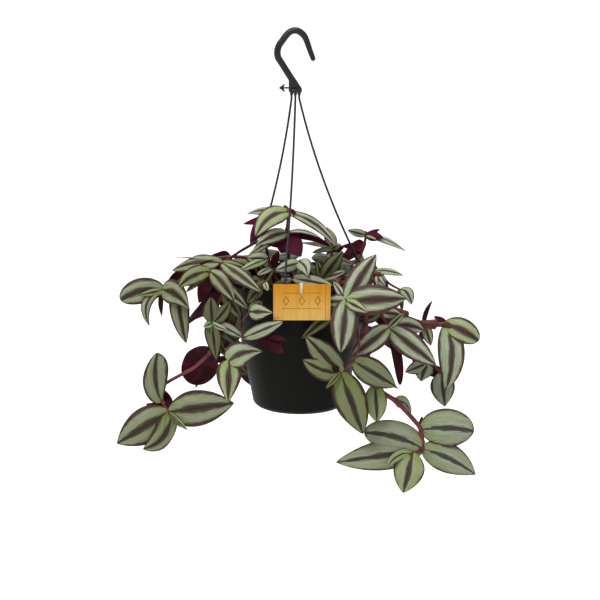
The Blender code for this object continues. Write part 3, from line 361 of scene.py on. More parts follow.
        (5, (109.1, -50, -128.8), 13, "f", 1, GROWN, -4, -20),
        (4, (81.2, -34, -108.9), 20, (1, 0, 0.4), 3),
        (7, (140.2, -26, -156.8), 19, (0.7, 0.2, 0.7), 3),
        (8, (136.8, -26, -187.2), 20, (1, 0, 0.3), 3),
    )),
    ("shoot_front_left", 1.2, 0.8, (
        (-18, -44, -12), (-34, -66, 7), (-47.6, -74, -20.2), (-57.2, -76, -32),
        (-53.4, -76, -45.2), (-36.2, -78, -40.3),
    ), (
        (2, (-25.2, -84, -18.9), 17, "f", 3, GROWN, 0, 0, "w"),
        (4, (-15.6, -86, -27.2), 14, "f", 2), (5, (-16.2, -84, -58.4), 17, "d", 2),
        (5, (-11.4, -88, -45.7), 6, "d", 1), (1, (-30.3, -76, 0.1), 6, "f", 1, YOUNG),
        (1, (-50.9, -60, -15), 14, "f", 2, SHADED), (2, (-36.2, -70, -10.9), 12, "f", 2, SHADED),
    )),
    ("shoot_centre_right", 1.5, 0.4, (
        (16, -18, -12), (21.5, -32, 2.8),
    ), (
        (1, (41.7, -36, 31.3), 17, "f", 3, SHADED), (1, (8.7, -46, 1.7), 11, "f", 1, SHADED),
        (1, (44.7, -38, 12), 10, "f", 1), (1, (16.6, -28, 19.9), 9, "f", 1, SHADED),
    )),
    ("shoot_crown_left", 1.5, 0.4, (
        (-27, 6, -12), (-33, 14, 2), (-40, 18, 8),
    ), (
        (2, (-68, 29, 11), 22, "u", 4, SHADED), (2, (-26, 7, 11), 15, "u", 3, DEEP_SHADE),
        (1, (-48, 36, 4), 12, "u", 3, DEEP_SHADE), (1, (-15, 17, -3), 12, "u", 3, SHADED),
    )),
    ("shoot_crown_back_left", 1.5, 0.4, (
        (-14, 28, -12), (-18, 32, 0), (-26, 37, 9),
    ), (
        (2, (-40, 70, 12), 22, "u", 4, DEEP_SHADE), (2, (0, 56, 11), 20, "u", 3, SHADED),
        (2, (-12, 10, 14), 20, "u", 3, DEEP_SHADE), (1, (-37, 27, -3), 13, "u", 3, DEEP_SHADE),
        (1, (-2, 21, -3), 14, "u", 3, SHADED), (1, (-20, 55, -3), 15, "u", 3, DEEP_SHADE),
    )),
    ("shoot_crown_back_right", 1.5, 0.4, (
        (14, 26, -12), (18, 30, -1), (26, 31, 8),
    ), (
        (2, (54, 50, 11), 21, "u", 4, SHADED), (2, (16, 64, 10), 20, "u", 4, DEEP_SHADE),
        (1, (-2, 29, 5), 16, "u", 3, DEEP_SHADE), (2, (54, 13, 8), 20, "u", 3, SHADED),
        (1, (6, 50, -2), 14, "u", 3, DEEP_SHADE), (1, (22, 12, -4), 14, "u", 3, DEEP_SHADE),
        (1, (41, 27, -3), 13, "u", 3, SHADED),
    )),
    ("shoot_crown_centre", 1.5, 0.4, (
        (6, 6, -12), (6, 4, -1), (3, 2, 6),
    ), (
        (2, (30, -10, 2), 17, "u", 3, DEEP_SHADE), (2, (-22, -8, 6), 19, "u", 3, SHADED),
        (2, (2, -24, 2), 17, "u", 3, DEEP_SHADE), (2, (22, 18, 3), 16, "u", 3, DEEP_SHADE, 0, 8),
        (1, (21, 10, -5), 12, "u", 2, SHADED), (1, (-12, -8, -5), 12, "u", 2, DEEP_SHADE),
        (1, (12, -15, -6), 12, "u", 2, DEEP_SHADE),
    )),
    ("shoot_crown_front", 1.5, 0.4, (
        (-4, -42, -12), (-5, -46, -5), (-6, -49, -2),
    ), (
        (2, (20, -61, -7), 12, "u", 0, DEEP_SHADE), (2, (-26, -56, 3), 14, "u", 3, DEEP_SHADE),
        (1, (-17, -34, -7), 11, "u", 2, SHADED), (1, (12, -41, -7), 12, "u", 2, DEEP_SHADE),
    )),
    ("shoot_crown_right", 1.5, 0.4, (
        (34, -22, -12), (40, -22, -1), (44, -22, 5),
    ), (
        (2, (66, -36, 7), 13, "u", 3, SHADED), (2, (44, 1, 12), 15, "u", 3, DEEP_SHADE),
        (1, (57, -33, -4), 12, "u", 3, DEEP_SHADE), (1, (27, -12, -4), 12, "u", 2, SHADED),
        (1, (26, -25, -5), 10, "u", 2, DEEP_SHADE),
    )),
    ("shoot_crown_front_left", 1.4, 0.4, (
        (-12, -26, -12), (-12, -27, -5), (-13, -28, -1),
    ), (
        (2, (-14, -11, 0), 12, "u", 2, SHADED), (2, (-13, -43, 1), 11, "u", 2, DEEP_SHADE),
        (1, (-1, -17, -6), 9, "u", 1, DEEP_SHADE),
    )),
    ("shoot_crown_outer_left", 1.4, 0.4, (
        (-44, -4, -12), (-47, -5, -4), (-50, -6, 1),
    ), (
        (2, (-67, 2, 2), 17, "u", 3, DEEP_SHADE), (2, (-58, -19, -1), 13, "u", 2, DEEP_SHADE),
        (1, (-34, 1, -6), 11, "u", 2, SHADED),
    )),
    ("shoot_crown_outer_right", 1.4, 0.4, (
        (45, -1, -12), (47, -1, -5), (49, -1, -1),
    ), (
        (2, (65, -3, 1), 11, "u", 2, DEEP_SHADE), (1, (33, 2, -7), 10, "u", 2, SHADED),
    )),
    ("shoot_crown_back", 1.4, 0.4, (
        (4, 46, -12), (3, 48, -5), (2, 50, 0),
    ), (
        (2, (9, 67, 3), 14, "u", 3, DEEP_SHADE), (2, (2, 33, 1), 12, "u", 2, SHADED),
    )),
)

# back shoots: name, bearing in degrees from +X, how far it hangs in mm, the side of its first leaf
BACK_SHOOTS = (
    ("shoot_back_far_right", 44.0, 68.0, 1),
    ("shoot_back_right", 70.0, 112.0, -1),
    ("shoot_back_middle", 97.0, 86.0, 1),
    ("shoot_back_left", 125.0, 102.0, -1),
    ("shoot_back_far_left", 152.0, 84.0, 1),
)
BACK_R = 1.5
BACK_AGE = 0.4
# their route: how far out each point is, the heights of the points over the rim, and the shares
# of the hang at which the rest lie
BACK_REACH = (30.0, 54.0, 79.0, 91.0, 96.0, 98.0, 94.0)
BACK_HEIGHTS = (STEM_FOOT, 1.8, 4.0, -10.0)
BACK_SHARES = (0.4, 0.72, 1.0)
# a row a leaf: route point, how far aside and up its tip is, width, age; how far out each tip is
BACK_LEAVES = (
    (2, 14.0, 9.0, 22.0, SHADED), (3, -20.0, -16.0, 25.0, GROWN), (4, 33.0, -22.0, 30.0, GROWN),
    (5, -32.0, -26.0, 30.0, GROWN), (6, 20.0, -42.0, 28.0, GROWN), (6, -26.0, -24.0, 24.0, YOUNG),
)
BACK_OUTWARD = 18.0

# stage, in metres from the hook's seat: lights by name, place, target, size and power in watts
LIGHTS = (
    ("key", (-0.8, -1.2, 1.3), (0.0, 0.0, -0.25), 0.7, 20.0),
    ("fill", (1.5, -1.2, 0.3), (0.0, 0.0, -0.25), 1.2, 2.0),
    ("top", (0.0, -0.2, 1.4), (0.0, 0.0, -0.25), 0.6, 8.0),
    ("wall", (0.0, 1.6, 1.8), (0.0, 3.2, -0.4), 2.5, 60.0),
)
SKY_STRENGTH = 0.45
# camera, in mm from the middle of the rim, and its lens on a 36 mm sensor
CAMERA_EYE = (0.0, -1500.0, 300.0)
CAMERA_TARGET = (0.0, 0.0, -25.0)
CAMERA_LENS = 92.1

# settings of a colour mix, and of one that multiplies
COLOURS = {"data_type": "RGBA", "at": (0, 6, 7), "out": 2}
MULTIPLIED = {**COLOURS, "blend_type": "MULTIPLY"}


def srgb(code):
    """A linear colour from an sRGB hex code, opaque."""
    c = np.array([int(code[i:i + 2], 16) for i in (1, 3, 5)]) / 255.0
    c = np.where(c <= 0.04045, c / 12.92, ((c + 0.055) / 1.055) ** 2.4)
    return (*c.tolist(), 1.0)


def colour(label, words, code):
    """A colour property with its default from an sRGB hex code."""
    return bpy.props.FloatVectorProperty(name=label, description=words, subtype="COLOR", size=4,
                                         min=0.0, max=1.0, default=srgb(code))


def number(label, words, usual, least, most, **more):
    """A number property with its default and its limits."""
    return bpy.props.FloatProperty(name=label, description=words, default=usual, min=least,
                                   max=most, **more)


class PlantLeaves(bpy.types.PropertyGroup):
    silver: colour("Silver band", "The two pale bands of a grown leaf", "#c6ceb5")
    # painted highlight: a bluish sheen painted beside the stripe of grey leaves
    gleam: colour("Gleam", "Bluish silver beside the stripe of grey leaves", "#b0beb4")
    silver_low: colour("Silver band, dark cells", "What shows between air-filled cells", "#828b68")
    middle: colour("Middle stripe", "The purple-brown stripe along the midrib", "#5b4642")
    middle_old: colour("Middle stripe, old", "The same stripe on the greener leaves", "#565349")
    groove: colour("Midrib", "The stripe's dark core, where the midrib sinks in", "#20160f")
    margin: colour("Margin", "The narrow purple-brown edge", "#4e3835")
    green: colour("Leaf green", "Where a band is bare of silver", "#5d6c38")
    young: colour("Young band", "The yellow-green bands of a new leaf", "#98a85c")
    fresh: colour("Leaf foot", "The bright green at a leaf's foot", "#7f9a35")
    # painted shade: the colour that shaded leaves are multiplied by, raised to their shade's power
    shade: colour("Shaded leaf", "What the shade multiplies a leaf's colours by", "#a3a086")
    under: colour("Underside", "The wine-red underside", "#2f0a10")
    # partly painted light: the underside's magenta in clouds, and more painted on higher leaves as
    # light coming through
    flush: colour("Underside flush", "Magenta where the light comes through", "#721b44")
    thickness: number("Thickness", "Blade thickness at the midrib, in mm", 0.55, 0.2, 1.5)
    cupping: number("Cupping", "How far the margins bend down, as a share", 0.34, 0.0, 0.6)
    wave: number("Wave", "Wave of the margin as a share of the half width", 0.06, 0.0, 0.2)


class PlantStems(bpy.types.PropertyGroup):
    pink: colour("Young stem", "The pink to maroon of new stems", "#8c4849")
    brown: colour("Old stem", "The brown of old stems", "#68392a")
    # partly painted shade: the stems' old colour darkened further as painted shade towards age 2
    old_shaded: colour("Oldest stem", "Blackish purple of the oldest stems", "#361b22")
    knot: number("Knot", "Swelling where a leaf grows, as a share", 0.3, 0.0, 1.0)


class PlantPot(bpy.types.PropertyGroup):
    black: colour("Pot", "Black polypropylene", "#0c0b07")
    soil: colour("Potting mix", "Moist peat", "#20160f")


class PlantHanger(bpy.types.PropertyGroup):
    black: colour("Hanger", "Black polypropylene", "#141518")


class PlantLabel(bpy.types.PropertyGroup):
    amber: colour("Upper card", "The amber at the card's top", "#d6911c")
    pale: colour("Lower card", "The paler wood at the card's foot", "#ebbd62")
    ink: colour("Ink", "The dark lines and the ornament", "#4a2c10")
    clip: colour("Clip", "Translucent natural plastic", "#efd9b0")


class PlantStage(bpy.types.PropertyGroup):
    drop: number("Floor", "Depth of the floor below the hook's seat", 0.75, 0.5, 2.0, unit="LENGTH")
    pale: colour("Floor", "Plain pale floor", "#fbfbfa")


def place(points):
    """Points in mm from the middle of the rim, in metres from the hook's seat."""
    return (np.asarray(points, float) - SEAT) * MM


def unit(v):
    """Vectors along the last axis at length one."""
    v = np.asarray(v, float)
    return v / np.maximum(np.linalg.norm(v, axis=-1, keepdims=True), 1e-9)


def around(sides):
    """The angles of a ring's corners."""
    return np.arange(sides) * math.tau / sides


def level_way(angle):
    """The level direction at an angle from +X, in X and Y."""
    return np.array((math.cos(angle), math.sin(angle)))


def rounded_ring(half, radius, steps):
    """A rectangle's outline with rounded corners: the points of each turn on a circle."""
    ring = []
    for quarter, signs in enumerate(((1, 1), (-1, 1), (-1, -1), (1, -1))):
        turn = np.linspace(0, math.pi / 2, steps) + quarter * math.pi / 2
        spoke = np.stack((np.cos(turn), np.sin(turn)), -1)
        ring.append((np.array(half) - radius) * signs + radius * spoke)
    return np.vstack(ring)


def run_length(path):
    """How far along its path each point lies."""
    return np.append(0, np.cumsum(np.linalg.norm(np.diff(path, axis=0), axis=1)))


def smooth_route(points, steps, pull=0.5):
    """Cardinal spline through the points: on each span the cubic that leaves and arrives along
    pull times the way between the neighbours, read at that many steps. Returns the points and
    the span index at each."""
    p = np.asarray(points, float)
    p = np.vstack((2 * p[0] - p[1], p, 2 * p[-1] - p[-2]))
    spans = len(p) - 3
    at = np.append(np.arange(spans * steps) / steps, spans)
    i = np.minimum(at.astype(int), spans - 1)
    t = (at - i)[:, None]
    a, b, c, d = p[i], p[i + 1], p[i + 2], p[i + 3]
    leave, arrive, way = (c - a) * pull, (d - b) * pull, c - b
    square, cube = 3 * way - 2 * leave - arrive, leave + arrive - 2 * way
    return b + leave * t + square * t ** 2 + cube * t ** 3, at


def grid_faces(rows, ring, start=0):
    """Quads of a grid whose rings close on themselves, with a many-sided cap at each end."""
    r, c = np.meshgrid(np.arange(rows - 1), np.arange(ring), indexing="ij")
    a = r * ring + c
    b = r * ring + (c + 1) % ring
    quads = np.stack((a, b, b + ring, a + ring), -1).reshape(-1, 4) + start
    low = list(range(start + ring - 1, start - 1, -1))
    high = list(range(start + (rows - 1) * ring, start + rows * ring))
    return quads, [low, high]


def swept(points, radii, sides):
    """A round bar along the points: each ring is point + radius (cos a side + sin a up), where
    side is square to the path and to up, and up leans on the normal of the path's best plane."""
    points = np.asarray(points, float)
    tangent = unit(np.gradient(points, axis=0))
    normal = np.linalg.svd(points - points.mean(0))[2][2]
    up = unit(normal - tangent * (tangent @ normal)[:, None])
    side = np.cross(up, tangent)
    a = around(sides)[None, :, None]
    spoke = side[:, None] * np.cos(a) + up[:, None] * np.sin(a)
    return points[:, None] + spoke * np.asarray(radii, float)[:, None, None]


class Shell:
    """Gathers closed grids into one mesh with its attributes and material numbers."""

    def __init__(self):
        self.points, self.faces, self.slots, self.layers, self.count = [], [], [], {}, 0

    def add(self, grid, slot=0, **layers):
        """A grid of rings, capped at both ends. slot is one number or one for each ring column."""
        rows, ring = grid.shape[:2]
        quads, caps = grid_faces(rows, ring, self.count)
        columns = np.broadcast_to(slot, ring)
        self.points.append(grid.reshape(-1, 3))
        self.faces += quads.tolist() + caps
        self.slots += np.tile(columns, rows - 1).tolist() + [int(columns[0])] * 2
        for name, value in layers.items():
            width = 3 if name == "blade" else 1
            flat = np.broadcast_to(value, (rows, ring, 3) if width == 3 else (rows, ring))
            self.layers.setdefault(name, []).append((self.count, flat.reshape(rows * ring, width)))
        self.count += rows * ring

    def finish(self, name, materials, smooth=True):
        """Makes the mesh object, its place in its mesh."""
        mesh = bpy.data.meshes.new(name)
        points = place(np.vstack(self.points))
        mesh.from_pydata(points.tolist(), [], self.faces)
        for made in materials:
            mesh.materials.append(made)
        mesh.polygons.foreach_set("material_index", np.array(self.slots, np.int32))
        mesh.polygons.foreach_set("use_smooth", np.full(len(self.faces), smooth))
        for layer, chunks in self.layers.items():
            width = chunks[0][1].shape[1]
            data = np.zeros((self.count, width), np.float32)
            for start, values in chunks:
                data[start:start + len(values)] = values
            kind, key = ("FLOAT_VECTOR", "vector") if width == 3 else ("FLOAT", "value")
            mesh.attributes.new(layer, kind, "POINT").data.foreach_set(key, data.ravel())
        mesh.validate()
        mesh.update()
        piece = bpy.data.objects.new(name, mesh)
        bpy.context.scene.collection.objects.link(piece)
        return piece


def settle(piece, node):
    """The piece rides on the one body and stands for its CAD node, which it hides."""
    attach(piece, "root")
    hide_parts(node)


def feed(made, sockets):
    """Sets a node's inputs to plain values, or links them to the outputs that feed them."""
    for key, value in sockets.items():
        if isinstance(value, bpy.types.NodeSocket):
            made.id_data.links.new(value, made.inputs[key])
        else:
            made.inputs[key].default_value = value


def node(tree, kind, *values, at=None, out=0, stops=(), **settings):
    """Adds a node with its settings and gives its output out. The values feed its inputs in order,
    or the inputs numbered in at; a mapping alone feeds the inputs that it names."""
    made = tree.nodes.new("ShaderNode" + kind)
    for name, value in settings.items():
        setattr(made, name, value)
    named = values and isinstance(values[0], dict)
    feed(made, values[0] if named else dict(zip(at or range(len(values)), values)))
    for i, (position, value) in enumerate(stops):
        made.color_ramp.elements[i].position = position
        made.color_ramp.elements[i].color = value
    return made.outputs[out]


def blank(name):
    """A material with an empty tree but for its Principled shader, and what adds a node to it."""
    made = bpy.data.materials.new(name)
    made.use_nodes = True
    return made, partial(node, made.node_tree), made.node_tree.nodes["Principled BSDF"]


def toned(tint, share, lift=0.0):
    """The colour times a share, lifted a little."""
    return (*(min(1.0, v * share + lift) for v in tint[:3]), 1.0)


def leaf_upper(look):
    """Upper face of a zebrina leaf: smooth waxy skin. Air-filled cells make two silver bands, and
    the midrib and the margin are purple-brown. The eye sees a satin gleam, frayed stripe edges,
    bare green lines beside them, and streaks along the veins, about a millimetre apart. A bluish
    sheen beside the stripe of grey leaves is a painted highlight, and shaded leaves and leaves deep
    in the plant are darkened with painted shade."""
    made, add, shader = blank("leaf_upper_waxy_silver_banded")
    across, along, youth, shade, grey, rim, blade = (
        add("Attribute", attribute_name=name, out="Vector" if name == "blade" else "Fac")
        for name in ("across", "along", "youth", "shade", "grey", "rim", "blade"))
    # frays: 9 mm long and 1 mm wide, drawn a little coarser than the real veins
    drawn = add("Mapping", {"Vector": blade, "Scale": (0.11, 1.0, 1.0)})
    fray = add("TexNoise", {"Vector": drawn, "Scale": 1.0, "Detail": 3.0})
    fine = add("Mapping", {"Vector": blade, "Scale": (0.06, 1.3, 1.0)})
    streak = add("TexNoise", {"Vector": fine, "Scale": 1.0, "Detail": 2.0})
    out = add("Math", across, operation="ABSOLUTE")
    frayed = add("Math", fray, 0.34, -0.17, operation="MULTIPLY_ADD")
    out = add("Math", out, frayed, operation="ADD")
    # the stripe's half width as a share: narrow at the foot, widest from the middle on
    girth = add("Math", grey, -0.1, 0.27, operation="MULTIPLY_ADD")
    spread = add("MapRange", along, 0.0, 0.45, 0.4, 1.0, interpolation_type="SMOOTHSTEP")
    girth = add("Math", girth, spread, operation="MULTIPLY")
    reach = add("Math", out, girth, operation="DIVIDE")
    middle = add("MapRange", reach, 0.8, 1.2, 1.0, 0.0)
    flank = add("MapRange", reach, 1.1, 1.9, 0.5, 0.0)
    inward = add("Math", 1.0, out, operation="SUBTRACT")
    line = add("MapRange", inward, 0.05, 0.3, 0.6, 0.0)
    inward = add("Math", inward, rim, operation="DIVIDE")
    edge = add("MapRange", inward, 0.7, 1.25, 1.0, 0.0)
    tip = add("MapRange", along, 0.93, 0.99, 0.0, 1.0)
    edge = add("Math", edge, tip, operation="MAXIMUM")
    lively = add("Math", grey, -1.0, 1.0, operation="MULTIPLY_ADD")
    flank = add("Math", flank, lively, operation="MULTIPLY")
    bare = add("Math", flank, line, operation="MAXIMUM")
    # silver cells: specks of about 0.7 mm, and the streaks, which are 17 mm long and 0.8 mm wide
    cells = add("TexNoise", {"Vector": blade, "Scale": 1.4, "Detail": 2.0})
    cells = add("Math", cells, 0.6, streak, operation="MULTIPLY_ADD")
    speck = add("MapRange", cells, 0.5, 1.1, 0.0, 1.0)
    paler = add("Math", grey, -0.45, 1.0, operation="MULTIPLY_ADD")
    speck = add("Math", speck, paler, operation="MULTIPLY")
    silver = add("Mix", speck, look.silver_low, look.silver, **COLOURS)
    fresh = add("MapRange", streak, 0.3, 0.7, 1.0, 0.55)
    fresh = add("Math", fresh, youth, operation="MULTIPLY")
    band = add("Mix", fresh, silver, look.young, **COLOURS)
    band = add("Mix", bare, band, look.green, **COLOURS)
    # painted highlight: grey leaves are painted a bluish sheen beside the stripe
    gleam = add("MapRange", reach, 1.1, 2.1, 0.5, 0.0)
    gleam = add("Math", gleam, grey, operation="MULTIPLY")
    band = add("Mix", gleam, band, look.gleam, **COLOURS)
    foot = add("MapRange", along, 0.03, 0.38, 0.8, 0.0, interpolation_type="SMOOTHSTEP")
    greening = add("Math", youth, 0.6, 0.4, operation="MULTIPLY_ADD")
    foot = add("Math", foot, greening, operation="MULTIPLY")
    band = add("Mix", foot, band, look.fresh, **COLOURS)
    stripe = add("Mix", grey, look.middle, look.middle_old, **COLOURS)
    core = add("MapRange", reach, 0.25, 0.75, 0.55, 0.0)
    fainter = add("Math", grey, -0.5, 1.0, operation="MULTIPLY_ADD")
    core = add("Math", core, fainter, operation="MULTIPLY")
    stripe = add("Mix", core, stripe, look.groove, **COLOURS)
    stripe = add("Mix", foot, stripe, look.green, **COLOURS)
    skin = add("Mix", middle, band, stripe, **COLOURS)
    # the midrib's groove, 0.8 mm wide, then the margin and the painted shade
    aside = add("SeparateXYZ", blade, out=1)
    aside = add("Math", aside, operation="ABSOLUTE")
    groove = add("MapRange", aside, 0.15, 0.4, 0.6, 0.0)
    skin = add("Mix", groove, skin, look.groove, **COLOURS)
    skin = add("Mix", edge, skin, look.margin, **COLOURS)
    # painted shade: the shade colour raised to the leaf's shade power multiplies its colours
    painted_shade_factor = add("Gamma", look.shade, shade)
    skin = add("Mix", 1.0, skin, painted_shade_factor, **MULTIPLIED)
    gloss = add("MapRange", speck, 0.0, 1.0, 0.42, 0.54)
    vein = add("TexWave", {"Vector": blade, "Scale": 0.32, "Distortion": 0.6, "Detail": 1.0},
               bands_direction="Y", out="Fac")
    height = add("Math", groove, -2.0, vein, operation="MULTIPLY_ADD")
    bump = add("Bump", {"Height": height, "Strength": 0.35, "Distance": 0.00014})
    feed(shader, {"Base Color": skin, "Roughness": gloss, "IOR": 1.42, "Specular IOR Level": 0.22,
                  "Normal": bump})
    return made


def leaf_under(look):
    """Underside of the leaf: wine-red skin, matt between raised veins a millimetre apart, streaked
    over 10 mm, with a magenta flush in clouds of 14 mm, and more magenta painted on the leaves
    that stand higher, as painted light coming through them."""
    made, add, shader = blank("leaf_underside_wine_red")
    blade = add("Attribute", attribute_name="blade", out="Vector")
    drawn = add("Mapping", {"Vector": blade, "Scale": (0.1, 0.9, 1.0)})
    streak = add("TexNoise", {"Vector": drawn, "Scale": 1.0, "Detail": 3.0})
    cloud = add("TexNoise", {"Vector": blade, "Scale": 0.07, "Detail": 1.0})
    flush = add("MapRange", cloud, 0.52, 0.75, 0.0, 0.4)
    where = add("TexCoord", out="Object")
    height = add("SeparateXYZ", where, out=2)
    # painted light: the higher a leaf stands, the more magenta, as light coming through it
    painted_backlight = add("MapRange", height, -0.23, -0.19, 0.0, 0.6)
    flush = add("Math", flush, painted_backlight, operation="ADD")
    dark, light = toned(look.under, 0.6), toned(look.under, 1.5)
    skin = add("ValToRGB", streak, stops=((0.32, dark), (0.68, light)))
    skin = add("Mix", flush, skin, look.flush, **COLOURS)
    vein = add("TexWave", {"Vector": blade, "Scale": 0.32, "Distortion": 0.5},
               bands_direction="Y", out="Fac")
    bump = add("Bump", {"Height": vein, "Strength": 0.4, "Distance": 0.00015})
    feed(shader, {"Base Color": skin, "Roughness": 0.55, "Specular IOR Level": 0.1, "Normal": bump})
    return made


def stem_skin(look):
    """Stem and leaf sheath: a juicy stem with a thin satin skin, pink on new growth, brown with
    age and blackish purple towards age 2, old colour and painted shade together, darker at the
    knots, and streaked 8 mm by 0.6 mm."""
    made, add, shader = blank("stem_skin_streaked")
    age = add("Attribute", attribute_name="age", out="Fac")
    knot = add("Attribute", attribute_name="knot", out="Fac")
    blade = add("Attribute", attribute_name="blade", out="Vector")
    drawn = add("Mapping", {"Vector": blade, "Scale": (0.12, 1.6, 1.0)})
    streak = add("TexNoise", {"Vector": drawn, "Scale": 1.0, "Detail": 3.0})
    base = add("Mix", age, look.pink, look.brown, **COLOURS)
    # partly painted shade: from age 1 to 2 the stem darkens to blackish purple
    old_shaded = add("MapRange", age, 1.0, 2.0, 0.0, 1.0)
    base = add("Mix", old_shaded, base, look.old_shaded, **COLOURS)
    tint = add("ValToRGB", streak, stops=((0.35, srgb("#8f7f7a")), (0.65, srgb("#ffffff"))))
    skin = add("Mix", 1.0, base, tint, **MULTIPLIED)
    dark = add("Math", knot, 0.6, operation="MULTIPLY")
    skin = add("Mix", dark, skin, srgb("#4a2a22"), **COLOURS)
    bump = add("Bump", {"Height": streak, "Strength": 0.3, "Distance": 0.0002})
    feed(shader, {"Base Color": skin, "Roughness": 0.45, "Specular IOR Level": 0.25,
                  "Normal": bump})
    return made


def moulded_plastic(name, tint, roughness, gleam, ring_step):
    """Injection-moulded polypropylene: satin, with faint rings ring_step mm apart where the melt
    flowed and the mould was turned, clouds of 36 mm and scuffs of 3 mm that catch the light."""
    made, add, shader = blank(name)
    where = add("TexCoord", out="Object")
    scuff = add("TexNoise", {"Vector": where, "Scale": 350.0, "Detail": 4.0})
    cloud = add("TexNoise", {"Vector": where, "Scale": 28.0, "Detail": 3.0})
    skin = add("Mix", cloud, tint, toned(tint, 1.3, 0.001), **COLOURS)
    gloss = add("MapRange", scuff, 0.3, 0.7, roughness - 0.06, roughness + 0.08)
    # a wave at scale 1 is 314 mm long
    rings = add("TexWave", {"Vector": where, "Scale": 314.0 / ring_step, "Distortion": 0.3},
                bands_direction="Z", out="Fac")
    height = add("Math", rings, scuff, operation="ADD")
    bump = add("Bump", {"Height": height, "Strength": 0.15, "Distance": 0.00008})
    feed(shader, {"Base Color": skin, "Roughness": gloss, "IOR": 1.49, "Specular IOR Level": gleam,
                  "Normal": bump})
    return made


def potting_mix(tint):
    """Moist peat with bark crumbs of 4 mm and a little white perlite of 2 mm: matt, very dark."""
    made, add, shader = blank("potting_mix_moist_peat")
    where = add("TexCoord", out="Object")
    crumb = add("TexNoise", {"Vector": where, "Scale": 260.0, "Detail": 5.0})
    skin = add("Mix", crumb, tint, toned(tint, 3.0), **COLOURS)
    grit = add("TexVoronoi", {"Vector": where, "Scale": 420.0}, out="Color")
    pick = add("SeparateColor", grit)
    white = add("Math", pick, 0.965, operation="GREATER_THAN")
    skin = add("Mix", white, skin, srgb("#8d877b"), **COLOURS)
    bump = add("Bump", {"Height": crumb, "Strength": 0.8, "Distance": 0.0012})
    feed(shader, {"Base Color": skin, "Roughness": 0.95, "Normal": bump})
    return made


def printed_card(look):
    """Coated card printed with a wood look: amber above and paler below, upright grain 3 mm wide,
    one dark plank joint near the right edge, and a plain diamond ornament between two rules."""
    made, add, shader = blank("label_card_printed_wood_look")
    spot = add("Attribute", attribute_name="blade", out="Vector")
    x, z = (add("SeparateXYZ", spot, out=axis) for axis in (0, 2))
    fade = add("MapRange", z, -18.0, 14.0, 0.0, 1.0)
    wood = add("Mix", fade, look.pale, look.amber, **COLOURS)
    drawn = add("Mapping", {"Vector": spot, "Scale": (0.3, 1.0, 0.035)})
    grain = add("TexNoise", {"Vector": drawn, "Scale": 1.0, "Detail": 4.0})
    tint = add("ValToRGB", grain, stops=((0.3, srgb("#b98f66")), (0.6, srgb("#ffffff"))))
    wood = add("Mix", 0.25, wood, tint, **MULTIPLIED)
    # a plank joint 0.6 mm wide, 22.5 mm right of the middle, which the grain breaks up
    joint = add("Math", x, 22.5, 0.3, operation="COMPARE")
    worn = add("Math", joint, grain, operation="MULTIPLY")
    # three diamonds 15 mm apart: across plus 0.625 times the height is 2.6 mm on their lines
    shift = add("Math", x, 7.5, operation="PINGPONG")
    rise = add("Math", z, 1.5, operation="SUBTRACT")
    rise = add("Math", rise, operation="ABSOLUTE")
    reach = add("Math", rise, 0.625, shift, operation="MULTIPLY_ADD")
    ring = add("Math", reach, 2.6, 0.35, operation="COMPARE")
    wide = add("Math", x, operation="ABSOLUTE")
    within = add("Math", wide, 18.5, operation="LESS_THAN")
    ring = add("Math", ring, within, operation="MULTIPLY")
    # two rules 15 mm apart, each 0.44 mm wide
    rule = add("Math", rise, 7.5, 0.22, operation="COMPARE")
    rule = add("Math", rule, within, operation="MULTIPLY")
    ink = add("Math", ring, rule, operation="MAXIMUM")
    ink = add("Math", ink, 0.8, operation="MULTIPLY")
    ink = add("Math", ink, worn, operation="MAXIMUM")
    skin = add("Mix", ink, wood, look.ink, **COLOURS)
    feed(shader, {"Base Color": skin, "Roughness": 0.5, "Specular IOR Level": 0.2})
    return made


def clip_plastic(tint):
    """Natural polypropylene strip: milky and let through by light; soft gloss. Its pale top is a
    painted highlight where it bends over the card's edge, and lower down it is painted the card's
    amber, as the card's light coming through it."""
    made, add, shader = blank("label_clip_natural_polypropylene")
    where = add("TexCoord", out="Object")
    cloud = add("TexNoise", {"Vector": where, "Scale": 300.0, "Detail": 2.0})
    skin = add("Mix", cloud, toned(tint, 0.75), tint, **COLOURS)
    # painted light: pale at the top as a highlight, the card's amber lower down as if seen through
    height = add("SeparateXYZ", where, out=2)
    fade = add("MapRange", height, -0.242, -0.233, 0.9, 0.0)
    skin = add("Mix", fade, skin, srgb("#c9913f"), **COLOURS)
    feed(shader, {"Base Color": skin, "Roughness": 0.25, "IOR": 1.49, "Subsurface Weight": 0.4,
                  "Subsurface Radius": (0.002, 0.0015, 0.001), "Subsurface Scale": 1.0})
    return made


def floor_paint(tint):
    """Plain pale studio floor, matt emulsion paint, rolled on."""
    made, _, shader = blank("stage_floor_matt_paint")
    feed(shader, {"Base Color": tint, "Roughness": 0.9})
    return made


def wobble(x, y, seed):
    """A smooth uneven height from five crossed waves, about -1 to 1."""
    total = 0.0
    for n in range(5):
        a, b = math.sin(seed + 2.4 * n), math.cos(seed * 1.7 + 1.9 * n)
        total = total + np.sin((x * a + y * b) * (0.16 + 0.13 * n) + seed * n) / (1.0 + 0.5 * n)
    return total / 2.2


